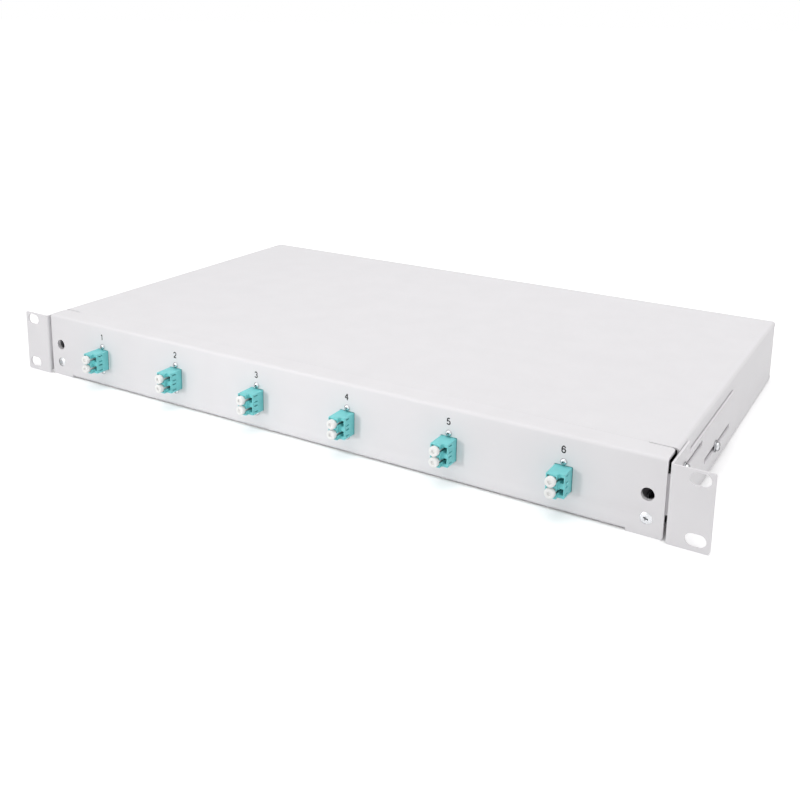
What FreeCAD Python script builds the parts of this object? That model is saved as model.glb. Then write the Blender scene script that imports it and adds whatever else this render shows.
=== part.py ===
import FreeCAD, Part
import math
import os

V = FreeCAD.Vector

# Fibre splice box for a 19 inch rack, one unit high, with a pull-out drawer.
# X runs to the right, Y to the back and Z up, in millimetres. The origin is the centre
# of the four rack slots, on the back faces of the ears.

# Rack format
rack_width = 482.6
unit_height = 43.6
rack_slot_spacing_x = rack_width - 14.6
rack_slot_spacing_z = 31.75
rack_slot_length = 10.4
rack_slot_width = 6.8
half_height = unit_height / 2

# Running clearances
fold_gap = 0.2
slide_gap = 0.3
side_play = 0.5
fit_gap = 0.05
cutout_gap = 0.35

# Housing: a folded sleeve, open at the front and the back
housing_width = rack_width - 44.2
housing_back = 267.0
housing_sheet = 1.2
housing_bend = 0.9
housing_front = 15.0
bottom_lip_width = 30.0
half_width = housing_width / 2
inner_half_width = half_width - housing_sheet

# Front panel: a shallow pan with a top flange and a shorter bottom flange
panel_width = housing_width - 2.8
panel_sheet = 1.5
panel_bend = 0.6
panel_corner_radius = 3.0
panel_foot_radius = 1.5
flange_relief_length = 14.0
flange_relief_depth = 0.8
bottom_fold_half_length = panel_width / 2 - 18.8
bottom_fold_rise = 0.7
bottom_fold_depth = 12.0
lock_hole_x = panel_width / 2 - 8.8
lock_hole_z = 0.8
lock_hole_radius = 3.5
panel_screw_z = -12.1
panel_screw_radius = 1.5
panel_screw_head_radius = 3.2
panel_screw_length = 9.0
panel_screw_dome = 0.5

# Front tabs of the housing, turned in behind the panel
tab_inner_x = lock_hole_x - 6.0
tab_bottom = -9.0
tab_top = 13.0
screw_ear_outer_x = lock_hole_x + 5.0
screw_ear_bottom = -17.0
screw_collar_radius = 3.0
screw_collar_length = 2.4

# Rear flanges of the housing, which close the side channels
rear_flange_inner_x = half_width - 15.2
rear_flange_half_height = 17.5
rear_flange_run = 6.0
rear_relief = 0.8

# Adapters: six duplex ones in a row, each turned so that its ports stand one above the other
adapter_count = 6
adapter_pitch = (panel_width - 36.6) / adapter_count
adapter_row_shift = -1.2
adapter_z = -1.9
adapter_width = 9.4
adapter_height = 13.2
adapter_nose = 12.5
adapter_tail = 14.0
latch_side_width = 3.4
latch_side_step = 2.5
adapter_flange_height = 23.4
adapter_flange_depth = 1.6
adapter_screw_spacing = 17.8
adapter_screw_radius = 1.0
adapter_screw_length = 6.0
adapter_screw_head_radius = 1.8
adapter_screw_head_height = 1.1
adapter_nut_flats = 4.0
adapter_nut_height = 1.6
port_pitch = 6.25
port_shift = -1.5
port_size = 4.7
port_depth = 13.0
tail_port_depth = 10.5
ferrule_radius = 0.65
latch_neck_width = 1.7
latch_room_width = 3.3
latch_room_from = 2.0
latch_room_to = 4.1

# Dust caps
cap_radius = 2.85
cap_face = 2.9
cap_neck_radius = 2.0
cap_neck_length = 7.5
cap_recess_radius = 0.95
cap_recess_depth = 1.8
cap_rim = 0.5

# Plugs and pigtails behind the adapters
plug_size = 4.5
plug_length = 15.0
plug_in_port = 7.0
plug_latch_width = 1.5
plug_latch_rise = 2.4
plug_latch_thickness = 0.8
boot_front_radius = 2.1
boot_back_radius = 1.1
boot_length = 17.0
pigtail_radius = 0.45
pigtail_lead = 10.0
pigtail_drop = 30.0
pigtail_gate = 24.0
pigtail_level_pitch = 1.2

# Brackets: angles with a long leg on the side wall, slotted for depth
ear_thickness = 2.0
ear_top = half_height - 1.3
ear_top_radius = 1.0
ear_bottom_radius = 2.2
bracket_bend = 0.3
bracket_gap = 0.3
leg_length = 136.0
leg_front_length = 24.5
leg_front_bottom = -19.9
leg_tail_half_height = 13.8
leg_corner_radius = 3.0
leg_slot_width = 3.4
upper_slot_z = 9.2
upper_slot_front = 10.0
upper_slot_back = 58.0
upper_screw_y = 21.0
lower_slot_z = -5.4
lower_slot_front = 66.0
lower_slot_back = leg_length - 10.0
lower_screw_y = 91.0

# Bracket screws, washers and the nuts pressed into the side walls
bracket_screw_radius = 1.5
bracket_screw_head_radius = 2.7
bracket_screw_head_height = 2.0
washer_radius = 3.5
washer_thickness = 0.5
side_nut_radius = 3.0
side_nut_length = 4.0

# Base plate, slide strips and guide rails, which follow the drawer's width
tray_half_width = half_width - 17.2
base_plate_sheet = 1.2
slide_strip_outer_x = tray_half_width - 6.0
slide_strip_inner_x = slide_strip_outer_x - 20.0
slide_strip_thickness = 1.0
rail_sheet = 1.0
rail_bend = 1.0
rail_foot = 13.0
rail_top = -11.0
rail_front = 24.0
rail_back = 258.0

# Drawer tray
tray_sheet = 1.0
tray_bend = 1.0
tray_front = 1.7
tray_back = 263.0
tray_top = 19.4
front_lip_half_length = tray_half_width - 12.0
front_lip_top = -14.6
front_lip_run = 8.0
fixing_tab_top = 2.0
fixing_tab_half_width = 9.0
stud_radius = 1.5
stud_length = 5.5
stud_z = -6.0
stud_nut_flats = 5.5
stud_nut_height = 2.4
drawer_travel = 210.0
stop_reach = 5.0
stop_bottom = -6.0
stop_top = 8.0

# Cable entries in the rear wall of the tray
entry_z = 0.6
entry_radius = 10.0
gland_x = tray_half_width - 52.0
blind_plug_x = gland_x - 50.0
gland_flats = 24.0
gland_flange = 6.0
gland_neck = 9.0
gland_cap_length = 17.0
gland_cap_front_radius = 8.2
gland_body_bore_radius = 8.0
gland_mouth_radius = 6.5
gland_thread_inside = 9.0
locknut_flats = 26.0
locknut_thickness = 4.5
seal_length = 9.8
seal_bore_radius = 5.0
blind_head_radius = 13.0
blind_head_thickness = 3.0

# Cable tie bridges in front of the glands
bridge_length = 26.0
bridge_height = 7.0
bridge_width = 12.0
bridge_foot = 8.0
bridge_bend = 0.5
bridge_y = 226.0

# Splice cassette
cassette_half_length = 86.0
cassette_front = 132.0
cassette_back = 236.0
cassette_height = 10.5
cassette_wall = 1.6
cassette_corner_radius = 18.0
cassette_entry_x = 64.0
cassette_entry_width = 9.0
cassette_post_inset = 14.0
cassette_post_radius = 4.0
cassette_nut_radius = 4.5
cassette_nut_height = 4.0
lid_thickness = 1.6
lid_grip_length = 30.0
lid_grip_width = 12.0
finger_x = 42.0
finger_length = 9.0
finger_width = 6.0
finger_thickness = 1.2
comb_half_length = 14.0
comb_floor = 1.5
comb_height = 6.0
splice_pitch = 3.4
splice_radius = 1.2
splice_length = 45.0

# Clips that guide the fibre along the sides of the tray
clip_x = tray_half_width - 26.0
clip_width = 8.0
clip_height = 14.0
clip_depth = 20.0
clip_wall = 1.8
clip_bend = 1.2
clip_mouth = 4.5

# Heights of the stacked pieces, worked out from the ones above
lip_top = -half_height + housing_sheet
base_plate_top = lip_top + base_plate_sheet
strip_top = base_plate_top + slide_strip_thickness
tray_bottom = strip_top + slide_gap
floor_top = tray_bottom + tray_sheet
cassette_top = floor_top + cassette_height
cassette_mid_y = (cassette_front + cassette_back) / 2
splice_count = 2 * adapter_count


def block(x0, x1, y0, y1, z0, z1):
    """Box between two corners."""
    return Part.makeBox(x1 - x0, y1 - y0, z1 - z0, V(x0, y0, z0))


def rod(radius, start, end):
    """Round bar between two points."""
    axis = end - start
    return Part.makeCylinder(radius, axis.Length, start, axis)


def hexagon(flats, start, end, turn=0.0):
    """Six-sided bar between two points."""
    axis = end - start
    corner = flats / math.sqrt(3)
    first = axis.cross(V(0, 0, 1)).normalize() * corner
    spin = FreeCAD.Rotation(axis, 60)
    points = [FreeCAD.Rotation(axis, turn).multVec(first)]
    for _ in range(6):
        points.append(spin.multVec(points[-1]))
    outline = Part.makePolygon([start + p for p in points])
    return Part.Face(outline).extrude(axis)


def oblong(centre, along, length, width, depth):
    """Bar with round ends. Its first face is at centre, and depth is the vector to its last."""
    across = depth.cross(along).normalize() * (width / 2)
    reach = along * ((length - width) / 2)
    nose = along * (length / 2)
    a, b = centre - reach + across, centre + reach + across
    c, d = centre + reach - across, centre - reach - across
    edges = [
        Part.LineSegment(a, b).toShape(),
        Part.Arc(b, centre + nose, c).toShape(),
        Part.LineSegment(c, d).toShape(),
        Part.Arc(d, centre - nose, a).toShape(),
    ]
    return Part.Face(Part.Wire(edges)).extrude(depth)


def turned(profile, start, axis):
    """Round piece from (distance along the axis, radius) pairs, closed onto the axis."""
    out = V(axis).normalize()
    side = out.cross(V(0, 0, 1) if abs(out.z) < 0.9 else V(1, 0, 0)).normalize()
    points = [start + out * along + side * radius for along, radius in profile]
    points = [start + out * profile[0][0]] + points + [start + out * profile[-1][0]]
    points = [p for i, p in enumerate(points) if i == 0 or (p - points[i - 1]).Length > 1e-6]
    face = Part.Face(Part.makePolygon(points + [points[0]]))
    return face.revolve(start, out, 360)


def fold_line(points, side, offset, middle_radius):
    """Edges of a line beside a folded middle line, with the line's two ends."""
    first = points[0] + side.cross((points[1] - points[0]).normalize()) * offset
    here = first
    edges = []
    for before, corner, after in zip(points, points[1:], points[2:]):
        come = (corner - before).normalize()
        go = (after - corner).normalize()
        half_turn = come.getAngle(go) / 2
        trim = middle_radius * math.tan(half_turn)
        inward = (go - come).normalize()
        centre = corner + inward * (middle_radius / math.cos(half_turn))
        arc_start = corner - come * trim + side.cross(come) * offset
        arc_end = corner + go * trim + side.cross(go) * offset
        arc_middle = centre - inward * (arc_start - centre).Length
        edges.append(Part.LineSegment(here, arc_start).toShape())
        edges.append(Part.Arc(arc_start, arc_middle, arc_end).toShape())
        here = arc_end
    last = points[-1] + side.cross((points[-1] - points[-2]).normalize()) * offset
    edges.append(Part.LineSegment(here, last).toShape())
    return edges, first, last


def bent_sheet(points, thickness, bend, sweep):
    """Sheet folded along a middle line, with inside radius bend, and carried along sweep."""
    side = V(sweep).normalize()
    middle_radius = bend + thickness / 2
    left, left_first, left_last = fold_line(points, side, thickness / 2, middle_radius)
    right, right_first, right_last = fold_line(points, side, -thickness / 2, middle_radius)
    ends = [
        Part.LineSegment(left_first, right_first).toShape(),
        Part.LineSegment(left_last, right_last).toShape(),
    ]
    outline = Part.Wire(Part.__sortEdges__(left + right + ends))
    return Part.Face(outline).extrude(sweep)


def fused(first, *others):
    """One solid from pieces that meet."""
    return first.fuse(list(others)).removeSplitter()


def mirrored(shape):
    """The same piece on the other side of the box."""
    return shape.mirror(V(0, 0, 0), V(1, 0, 0))


def both_sides(make):
    """A piece made for the right side, and its mirror image."""
    right = make()
    return [mirrored(right), right]


def adapter_centres():
    """X of each adapter, from the left."""
    middle = (adapter_count - 1) / 2
    return [adapter_row_shift + (i - middle) * adapter_pitch for i in range(adapter_count)]


def port_centres(adapter_x):
    """Axis points of an adapter's two ports, upper and lower, in the panel's plane."""
    x = adapter_x + port_shift
    return [V(x, 0, adapter_z + port_pitch / 2), V(x, 0, adapter_z - port_pitch / 2)]


def adapter_screw_places():
    """Points in the panel's plane where the adapters are screwed down."""
    reach = adapter_screw_spacing / 2
    return [V(x, 0, adapter_z + rise) for x in adapter_centres() for rise in (reach, -reach)]


def bracket_screw_places():
    """The (Y, Z) of the two screws that hold each bracket."""
    return [(upper_screw_y, upper_slot_z), (lower_screw_y, lower_slot_z)]


def front_tab():
    """Right side wall carried forward and turned in behind the panel, with the screw's ear."""
    wall = housing_sheet / 2
    middle_y = panel_sheet + slide_gap + wall
    middle_x = half_width - wall
    route = [V(tab_inner_x, middle_y, tab_bottom), V(middle_x, middle_y, tab_bottom)]
    route.append(V(middle_x, housing_front, tab_bottom))
    strip = bent_sheet(route, housing_sheet, housing_bend, V(0, 0, tab_top - tab_bottom))
    front, behind = middle_y - wall, middle_y + wall
    ear = block(tab_inner_x, screw_ear_outer_x, front, behind, screw_ear_bottom, tab_bottom)
    collar_start = V(lock_hole_x, behind, panel_screw_z)
    collar = rod(screw_collar_radius, collar_start, collar_start + V(0, screw_collar_length, 0))
    tab = fused(strip, ear, collar)
    lock = V(lock_hole_x, front, lock_hole_z)
    screw = V(lock_hole_x, front, panel_screw_z)
    lock_hole = rod(lock_hole_radius, lock, lock + V(0, housing_sheet, 0))
    screw_end = screw + V(0, housing_sheet + screw_collar_length, 0)
    screw_hole = rod(panel_screw_radius + 3 * fit_gap, screw, screw_end)
    return tab.cut([lock_hole, screw_hole])


def rear_flange():
    """Right side wall turned in at the back."""
    wall = housing_sheet / 2
    middle_x = half_width - wall
    route = [V(middle_x, housing_back - rear_flange_run, -rear_flange_half_height)]
    route.append(V(middle_x, housing_back - wall, -rear_flange_half_height))
    route.append(V(rear_flange_inner_x, housing_back - wall, -rear_flange_half_height))
    return bent_sheet(route, housing_sheet, housing_bend, V(0, 0, 2 * rear_flange_half_height))


def rear_relief_cut():
    """Room in the right side wall for the rear fold."""
    reach = rear_flange_half_height + rear_relief
    return block(inner_half_width - 1, half_width + 1, housing_back - rear_flange_run, housing_back + 1,
                 -reach, reach)


def side_wall_holes():
    """Holes in the right side wall for the bracket screws."""
    radius = bracket_screw_radius + slide_gap
    inner, outer = inner_half_width - 1, half_width + 1
    return [rod(radius, V(inner, y, z), V(outer, y, z)) for y, z in bracket_screw_places()]


def make_housing():
    """Sleeve of one folded sheet: lips below, side walls, top, front tabs and rear flanges."""
    wall = housing_sheet / 2
    side, top = half_width - wall, half_height - wall
    lip = half_width - bottom_lip_width
    outline = [(-lip, -top), (-side, -top), (-side, top), (side, top), (side, -top), (lip, -top)]
    route = [V(x, housing_front, z) for x, z in outline]
    sleeve = bent_sheet(route, housing_sheet, housing_bend, V(0, housing_back - housing_front, 0))
    cuts = both_sides(rear_relief_cut)
    for hole in side_wall_holes():
        cuts += [hole, mirrored(hole)]
    sleeve = sleeve.cut(cuts)
    return fused(sleeve, *both_sides(front_tab), *both_sides(rear_flange))


def make_base_plate():
    """Flat plate that lies on the housing's lips."""
    reach = inner_half_width - housing_bend - fold_gap
    back = housing_back - housing_sheet - fold_gap
    return block(-reach, reach, housing_front + fold_gap, back, lip_top, base_plate_top)


def make_slide_strip():
    """Plastic strip on the base plate, under the drawer's right side."""
    return block(slide_strip_inner_x, slide_strip_outer_x, rail_front, rail_back, base_plate_top, strip_top)


def make_guide_rail():
    """Right guide rail: an angle on the base plate beside the drawer."""
    wall = rail_sheet / 2
    web_x = tray_half_width + side_play + wall
    foot_z = base_plate_top + wall
    outline = [(web_x + rail_foot, foot_z), (web_x, foot_z), (web_x, rail_top)]
    route = [V(x, rail_front, z) for x, z in outline]
    return bent_sheet(route, rail_sheet, rail_bend, V(0, rail_back - rail_front, 0))


def make_side_nuts():
    """Nuts pressed into the side walls for the bracket screws."""
    nuts = []
    for y, z in bracket_screw_places():
        outer, inner = V(inner_half_width, y, z), V(inner_half_width - side_nut_length, y, z)
        nut = rod(side_nut_radius, inner, outer).cut(rod(bracket_screw_radius + fit_gap, inner, outer))
        nuts += [nut, mirrored(nut)]
    return Part.makeCompound(nuts)


def washer_face_x():
    """X of the washers' inner face, just clear of the bracket's leg."""
    return half_width + bracket_gap + ear_thickness + fold_gap


def make_bracket_washers():
    """Flat washers under the bracket screws."""
    start = washer_face_x()
    washers = []
    for y, z in bracket_screw_places():
        inner, outer = V(start, y, z), V(start + washer_thickness, y, z)
        washer = rod(washer_radius, inner, outer).cut(rod(bracket_screw_radius + fit_gap, inner, outer))
        washers += [washer, mirrored(washer)]
    return Part.makeCompound(washers)


def pan_screw(seat, out, radius, length, head_radius, head_height):
    """Pan head screw: its head stands on seat and its shank runs back from there."""
    dome = head_radius * 0.62
    profile = [(-length, radius), (0, radius), (0, head_radius), (head_height * 0.55, head_radius),
               (head_height * 0.9, head_radius * 0.8), (head_height, dome)]
    return turned(profile, seat, out)


def make_bracket_screws():
    """Pan head screws through the leg slots into the pressed-in nuts."""
    seat_x = washer_face_x() + washer_thickness
    length = seat_x - inner_half_width + side_nut_length
    screws = []
    for y, z in bracket_screw_places():
        screw = pan_screw(V(seat_x, y, z), V(1, 0, 0), bracket_screw_radius, length,
                          bracket_screw_head_radius, bracket_screw_head_height)
        screws += [screw, mirrored(screw)]
    return Part.makeCompound(screws)


def rack_slot_cuts():
    """Open slots of the right ear."""
    cuts = []
    for z in (rack_slot_spacing_z / 2, -rack_slot_spacing_z / 2):
        centre = V(rack_slot_spacing_x / 2, -ear_thickness - 1, z)
        through = V(0, ear_thickness + 2, 0)
        cuts.append(oblong(centre, V(1, 0, 0), rack_slot_length, rack_slot_width, through))
    return cuts


def leg_slot_cuts():
    """Open slots of the right leg."""
    cuts = []
    for front, back, z in ((upper_slot_front, upper_slot_back, upper_slot_z),
                           (lower_slot_front, lower_slot_back, lower_slot_z)):
        centre = V(half_width - 1, (front + back) / 2, z)
        depth = V(ear_thickness + bracket_gap + 2, 0, 0)
        cuts.append(oblong(centre, V(0, 1, 0), back - front, leg_slot_width, depth))
    return cuts


def leg_outline_cuts():
    """What the leg loses below and above: a shallow step at the front and a lower tail behind it."""
    inner_x, outer_x = half_width, half_width + bracket_gap + ear_thickness + 1
    back = leg_length + 1
    return [
        block(inner_x, outer_x, bracket_bend, back, -half_height - 1, leg_front_bottom),
        block(inner_x, outer_x, leg_front_length, back, -half_height - 1, -leg_tail_half_height),
        block(inner_x, outer_x, leg_front_length, back, leg_tail_half_height, half_height + 1),
    ]


def make_bracket():
    """Right bracket: an ear for the rack and a leg along the side wall."""
    wall = ear_thickness / 2
    leg_x = half_width + bracket_gap + wall
    outline = [(rack_width / 2, -wall), (leg_x, -wall), (leg_x, leg_length)]
    route = [V(x, y, -half_height) for x, y in outline]
    angle = bent_sheet(route, ear_thickness, bracket_bend, V(0, 0, half_height + ear_top))
    angle = angle.cut(rack_slot_cuts() + leg_slot_cuts() + leg_outline_cuts())
    for radius, height in ((ear_top_radius, ear_top), (ear_bottom_radius, -half_height)):
        angle = angle.makeFillet(radius, [e for e in angle.Edges if is_ear_corner(e, height)])
    return angle.makeFillet(leg_corner_radius, [e for e in angle.Edges if is_tail_corner(e)])


def is_ear_corner(edge, height):
    """An edge through the ear's thickness at its outer corner of that height."""
    box = edge.BoundBox
    at_corner = abs(box.ZMax - height) < 1e-4 and box.ZLength < 1e-4
    return at_corner and box.XLength < 1e-4 and abs(box.XMax - rack_width / 2) < 1e-4


def is_tail_corner(edge):
    """An edge through the leg's thickness at its far end."""
    box = edge.BoundBox
    return box.YLength < 1e-4 and box.ZLength < 1e-4 and abs(box.YMax - leg_length) < 1e-4


def panel_outline():
    """Panel and its two flanges, folded, with the end stretches left flat at the bottom."""
    wall = panel_sheet / 2
    reach = panel_width / 2
    depth = housing_front - fold_gap
    top = half_height - wall
    route = [V(-reach, depth, top), V(-reach, wall, top), V(-reach, wall, -half_height)]
    body = bent_sheet(route, panel_sheet, panel_bend, V(panel_width, 0, 0))
    fold = bottom_fold_half_length
    fold_bottom = -half_height + bottom_fold_rise
    trim_top = fold_bottom + panel_bend + 2 * panel_sheet
    body = body.cut(block(-fold, fold, -1, panel_sheet + 1, -half_height - 1, trim_top))
    outline = [(wall, trim_top), (wall, fold_bottom + wall), (bottom_fold_depth, fold_bottom + wall)]
    route = [V(-fold, y, z) for y, z in outline]
    return fused(body, bent_sheet(route, panel_sheet, panel_bend, V(2 * fold, 0, 0)))


def panel_flange_cuts():
    """Relief at the right rear corner of the top flange."""
    reach = panel_width / 2
    rear = housing_front - fold_gap
    return [block(reach - flange_relief_length, reach + 1, rear - flange_relief_depth, rear + 1,
                  half_height - panel_sheet - 1, half_height + 1)]


def is_flange_corner(edge):
    """An upright edge of the top flange at one of its rear corners."""
    box = edge.BoundBox
    upright = abs(box.ZMax - half_height) < 1e-4 and abs(box.ZLength - panel_sheet) < 1e-4
    outer = abs(abs(box.Center.x) - panel_width / 2) < 1e-4
    return upright and outer and box.Center.y > housing_front / 2 and box.YLength < 1e-4


def is_panel_foot(edge):
    """An edge through the panel's thickness at one of its bottom corners."""
    box = edge.BoundBox
    at_bottom = abs(box.ZMax + half_height) < 1e-4 and box.ZLength < 1e-4
    return at_bottom and box.XLength < 1e-4 and abs(abs(box.Center.x) - panel_width / 2) < 1e-4


def countersink(x):
    """Conical hole for a panel screw, open to the front."""
    radius = panel_screw_radius + fit_gap
    head = panel_screw_head_radius + fit_gap
    depth = min(head - radius, panel_sheet - fit_gap)
    profile = [(0, head), (depth, head - depth), (panel_sheet + 1, head - depth)]
    return turned(profile, V(x, 0, panel_screw_z), V(0, 1, 0))


def panel_holes():
    """Openings through the panel: adapters, their screws, quick locks and panel screws."""
    through = V(0, panel_sheet + 2, 0)
    cuts = []
    half_x = adapter_width / 2 + cutout_gap
    half_z = adapter_height / 2 + cutout_gap
    low, high = adapter_z - half_z, adapter_z + half_z
    for x in adapter_centres():
        cuts.append(block(x - half_x, x + half_x, -1, panel_sheet + 1, low, high))
    for place in adapter_screw_places():
        start = place - V(0, 1, 0)
        cuts.append(rod(adapter_screw_radius + fit_gap, start, start + through))
    for x in (-lock_hole_x, lock_hole_x):
        start = V(x, -1, lock_hole_z)
        cuts.append(rod(lock_hole_radius, start, start + through))
        cuts.append(countersink(x))
    return cuts


def make_front_panel():
    """Front panel with its flanges, openings and pressed-in studs."""
    panel = panel_outline()
    for cut in panel_flange_cuts():
        panel = panel.cut([cut, mirrored(cut)])
    panel = panel.makeFillet(panel_corner_radius, [e for e in panel.Edges if is_flange_corner(e)])
    panel = panel.makeFillet(panel_foot_radius, [e for e in panel.Edges if is_panel_foot(e)])
    panel = panel.cut(panel_holes())
    studs = []
    for x in fixing_tab_centres():
        start = V(x, panel_sheet, stud_z)
        studs.append(rod(stud_radius, start, start + V(0, stud_length, 0)))
    return fused(panel, *studs)


def make_panel_screws():
    """Raised countersunk screws at the panel's ends."""
    radius = panel_screw_radius
    head = panel_screw_head_radius
    profile = [(-panel_screw_dome, head * 0.45), (-panel_screw_dome * 0.55, head * 0.8), (0, head),
               (head - radius, radius), (panel_screw_length, radius)]
    places = [V(x, 0, panel_screw_z) for x in (-lock_hole_x, lock_hole_x)]
    return Part.makeCompound([turned(profile, place, V(0, 1, 0)) for place in places])


def fixing_tab_centres():
    """X of the tray's upright tabs, midway between the adapters."""
    xs = adapter_centres()
    return [(a + b) / 2 for a, b in zip(xs, xs[1:])][::2]


def port_cuts(adapter_x, mouth, depth):
    """Hollows of an adapter's two ports, each with a room for the plug's latch."""
    y0, y1 = sorted((mouth, mouth + depth))
    half, neck, room = port_size / 2, latch_neck_width / 2, latch_room_width / 2
    inner, outer = adapter_x + latch_room_from, adapter_x + latch_room_to
    cuts = []
    for axis in port_centres(adapter_x):
        cuts.append(block(axis.x - half, axis.x + half, y0, y1, axis.z - half, axis.z + half))
        cuts.append(block(axis.x, inner, y0, y1, axis.z - neck, axis.z + neck))
        cuts.append(block(inner, outer, y0, y1, axis.z - room, axis.z + room))
    return cuts


def adapter_bores(adapter_x, front, back):
    """Bores between two planes across an adapter: for its ferrules and for its two screws."""
    points = [(axis.x, axis.z, ferrule_radius) for axis in port_centres(adapter_x)]
    for rise in (adapter_screw_spacing / 2, -adapter_screw_spacing / 2):
        points.append((adapter_x, adapter_z + rise, adapter_screw_radius + fit_gap))
    return [rod(radius, V(x, front, z), V(x, back, z)) for x, z, radius in points]


def adapter_block(adapter_x, half_x, half_z, front, back):
    """Block centred on an adapter's axis."""
    return block(adapter_x - half_x, adapter_x + half_x, front, back, adapter_z - half_z, adapter_z + half_z)


def adapter_front(adapter_x, middle):
    """Front half of an adapter: its nose, shorter on the latch side, and half of its flange."""
    half_x, half_z = adapter_width / 2, adapter_height / 2
    nose = adapter_block(adapter_x, half_x, half_z, -adapter_nose, middle)
    flange = adapter_block(adapter_x, half_x, adapter_flange_height / 2, panel_sheet, middle)
    step_x = adapter_x + half_x - latch_side_width
    step = block(step_x, adapter_x + half_x, -adapter_nose, latch_side_step - adapter_nose,
                 adapter_z - half_z, adapter_z + half_z)
    cuts = port_cuts(adapter_x, -adapter_nose, port_depth) + adapter_bores(adapter_x, -adapter_nose, middle)
    return fused(nose, flange).cut([step] + cuts)


def adapter_rear(adapter_x, middle):
    """Rear half of an adapter: half of its flange and its tail behind the panel."""
    half_x, tail = adapter_width / 2, panel_sheet + adapter_tail
    body = adapter_block(adapter_x, half_x, adapter_height / 2, middle, tail)
    flange_end = panel_sheet + adapter_flange_depth
    flange = adapter_block(adapter_x, half_x, adapter_flange_height / 2, middle, flange_end)
    cuts = port_cuts(adapter_x, tail, -tail_port_depth) + adapter_bores(adapter_x, middle, tail)
    return fused(body, flange).cut(cuts)


def make_adapter(adapter_x):
    """Duplex adapter of two halves that meet in the middle of its flange."""
    middle = panel_sheet + adapter_flange_depth / 2
    return Part.makeCompound([adapter_front(adapter_x, middle), adapter_rear(adapter_x, middle)])


def make_adapter_screws():
    """Small pan head screws above and below each adapter."""
    return Part.makeCompound([
        pan_screw(place, V(0, -1, 0), adapter_screw_radius, adapter_screw_length,
                  adapter_screw_head_radius, adapter_screw_head_height)
        for place in adapter_screw_places()])


def make_adapter_nuts():
    """Nuts behind the adapters' flanges."""
    nuts = []
    for place in adapter_screw_places():
        start = place + V(0, panel_sheet + adapter_flange_depth, 0)
        end = start + V(0, adapter_nut_height, 0)
        hole = rod(adapter_screw_radius + fit_gap, start, end)
        nuts.append(hexagon(adapter_nut_flats, start, end).cut(hole))
    return Part.makeCompound(nuts)


def make_dust_cap(axis):
    """Dust cap: a round grip with a small recess, and a neck that sits in the port."""
    face = -adapter_nose - cap_face
    seat = -adapter_nose - slide_gap
    profile = [(0, cap_radius - cap_rim), (cap_rim, cap_radius), (seat - face, cap_radius),
               (seat - face, cap_neck_radius), (seat - face + cap_neck_length, cap_neck_radius)]
    start = V(axis.x, face, axis.z)
    cap = turned(profile, start, V(0, 1, 0))
    return cap.cut(rod(cap_recess_radius, start, start + V(0, cap_recess_depth, 0)))


def plug_places():
    """Axis point of every plug, at the mouth of its port behind the panel, from the left."""
    back = panel_sheet + adapter_tail
    return [axis + V(0, back, 0) for x in adapter_centres() for axis in port_centres(x)]


def make_plugs():
    """Plugs of the pigtails, each with its latch, in the ports behind the panel."""
    plugs = []
    half = plug_size / 2
    for place in plug_places():
        y0, y1 = place.y - plug_in_port, place.y - plug_in_port + plug_length
        body = block(place.x - half, place.x + half, y0, y1, place.z - half, place.z + half)
        side = place.x + half
        thick, rise = plug_latch_thickness, plug_latch_rise
        profile = [(side - thick, y0 + 1), (side, y0 + 1), (side + thick + rise, y1), (side + rise, y1)]
        corners = [V(x, y, place.z - plug_latch_width / 2) for x, y in profile]
        latch = Part.Face(Part.makePolygon(corners + corners[:1])).extrude(V(0, 0, plug_latch_width))
        plugs.append(fused(body, latch))
    return Part.makeCompound(plugs)


def plug_end_y():
    """Y where the plugs end and their boots start."""
    return panel_sheet + adapter_tail - plug_in_port + plug_length


def make_boots():
    """Tapered boots behind the plugs."""
    straight = boot_length * 0.2
    profile = [(0, boot_front_radius), (straight, boot_front_radius), (boot_length, boot_back_radius)]
    starts = [V(place.x, plug_end_y(), place.z) for place in plug_places()]
    return Part.makeCompound([turned(profile, start, V(0, 1, 0)) for start in starts])


def cord(points, radius):
    """Round cord of straight runs joined by tangent arcs."""
    edges = []
    here = points[0]
    for before, corner, after in zip(points, points[1:], points[2:]):
        come, go = corner - before, after - corner
        half_turn = come.getAngle(go) / 2
        trim = 0.45 * min(come.Length, go.Length)
        come.normalize()
        go.normalize()
        bend = trim / math.tan(half_turn)
        inward = (go - come).normalize()
        centre = corner + inward * (bend / math.cos(half_turn))
        arc_start, arc_end = corner - come * trim, corner + go * trim
        edges.append(Part.LineSegment(here, arc_start).toShape())
        edges.append(Part.Arc(arc_start, centre - inward * bend, arc_end).toShape())
        here = arc_end
    edges.append(Part.LineSegment(here, points[-1]).toShape())
    section = Part.Wire(Part.Circle(points[0], points[1] - points[0], radius).toShape())
    return Part.Wire(edges).makePipe(Part.Face(section))


def splice_y(index):
    """Y of a splice in the comb, from the front."""
    return cassette_mid_y + (index - (splice_count - 1) / 2) * splice_pitch


def splice_z():
    """Height of the splices' axes in the comb."""
    return floor_top + cassette_wall + comb_height - splice_radius


def make_pigtail(index):
    """Pigtail from its boot to its splice, entering the cassette at the nearer corner."""
    place = plug_places()[index]
    from_left = index < splice_count / 2
    side = -1 if from_left else 1
    rank = index if from_left else splice_count - 1 - index
    level = floor_top + cassette_wall + 1 + pigtail_level_pitch * rank
    entry_x = side * cassette_entry_x
    start = V(place.x, plug_end_y() + boot_length, place.z)
    lead = start + V(0, pigtail_lead, 0)
    turn = V(place.x, lead.y + pigtail_drop, level)
    gate = V(entry_x, cassette_front - pigtail_gate, level)
    bend = V(entry_x, splice_y(index), level)
    end = V(side * splice_length / 2, splice_y(index), splice_z())
    return cord([start, lead, turn, gate, bend, end], pigtail_radius)


def make_pigtails(adapter_index):
    """The two pigtails of one adapter."""
    first = 2 * adapter_index
    return Part.makeCompound([make_pigtail(first), make_pigtail(first + 1)])


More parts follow.
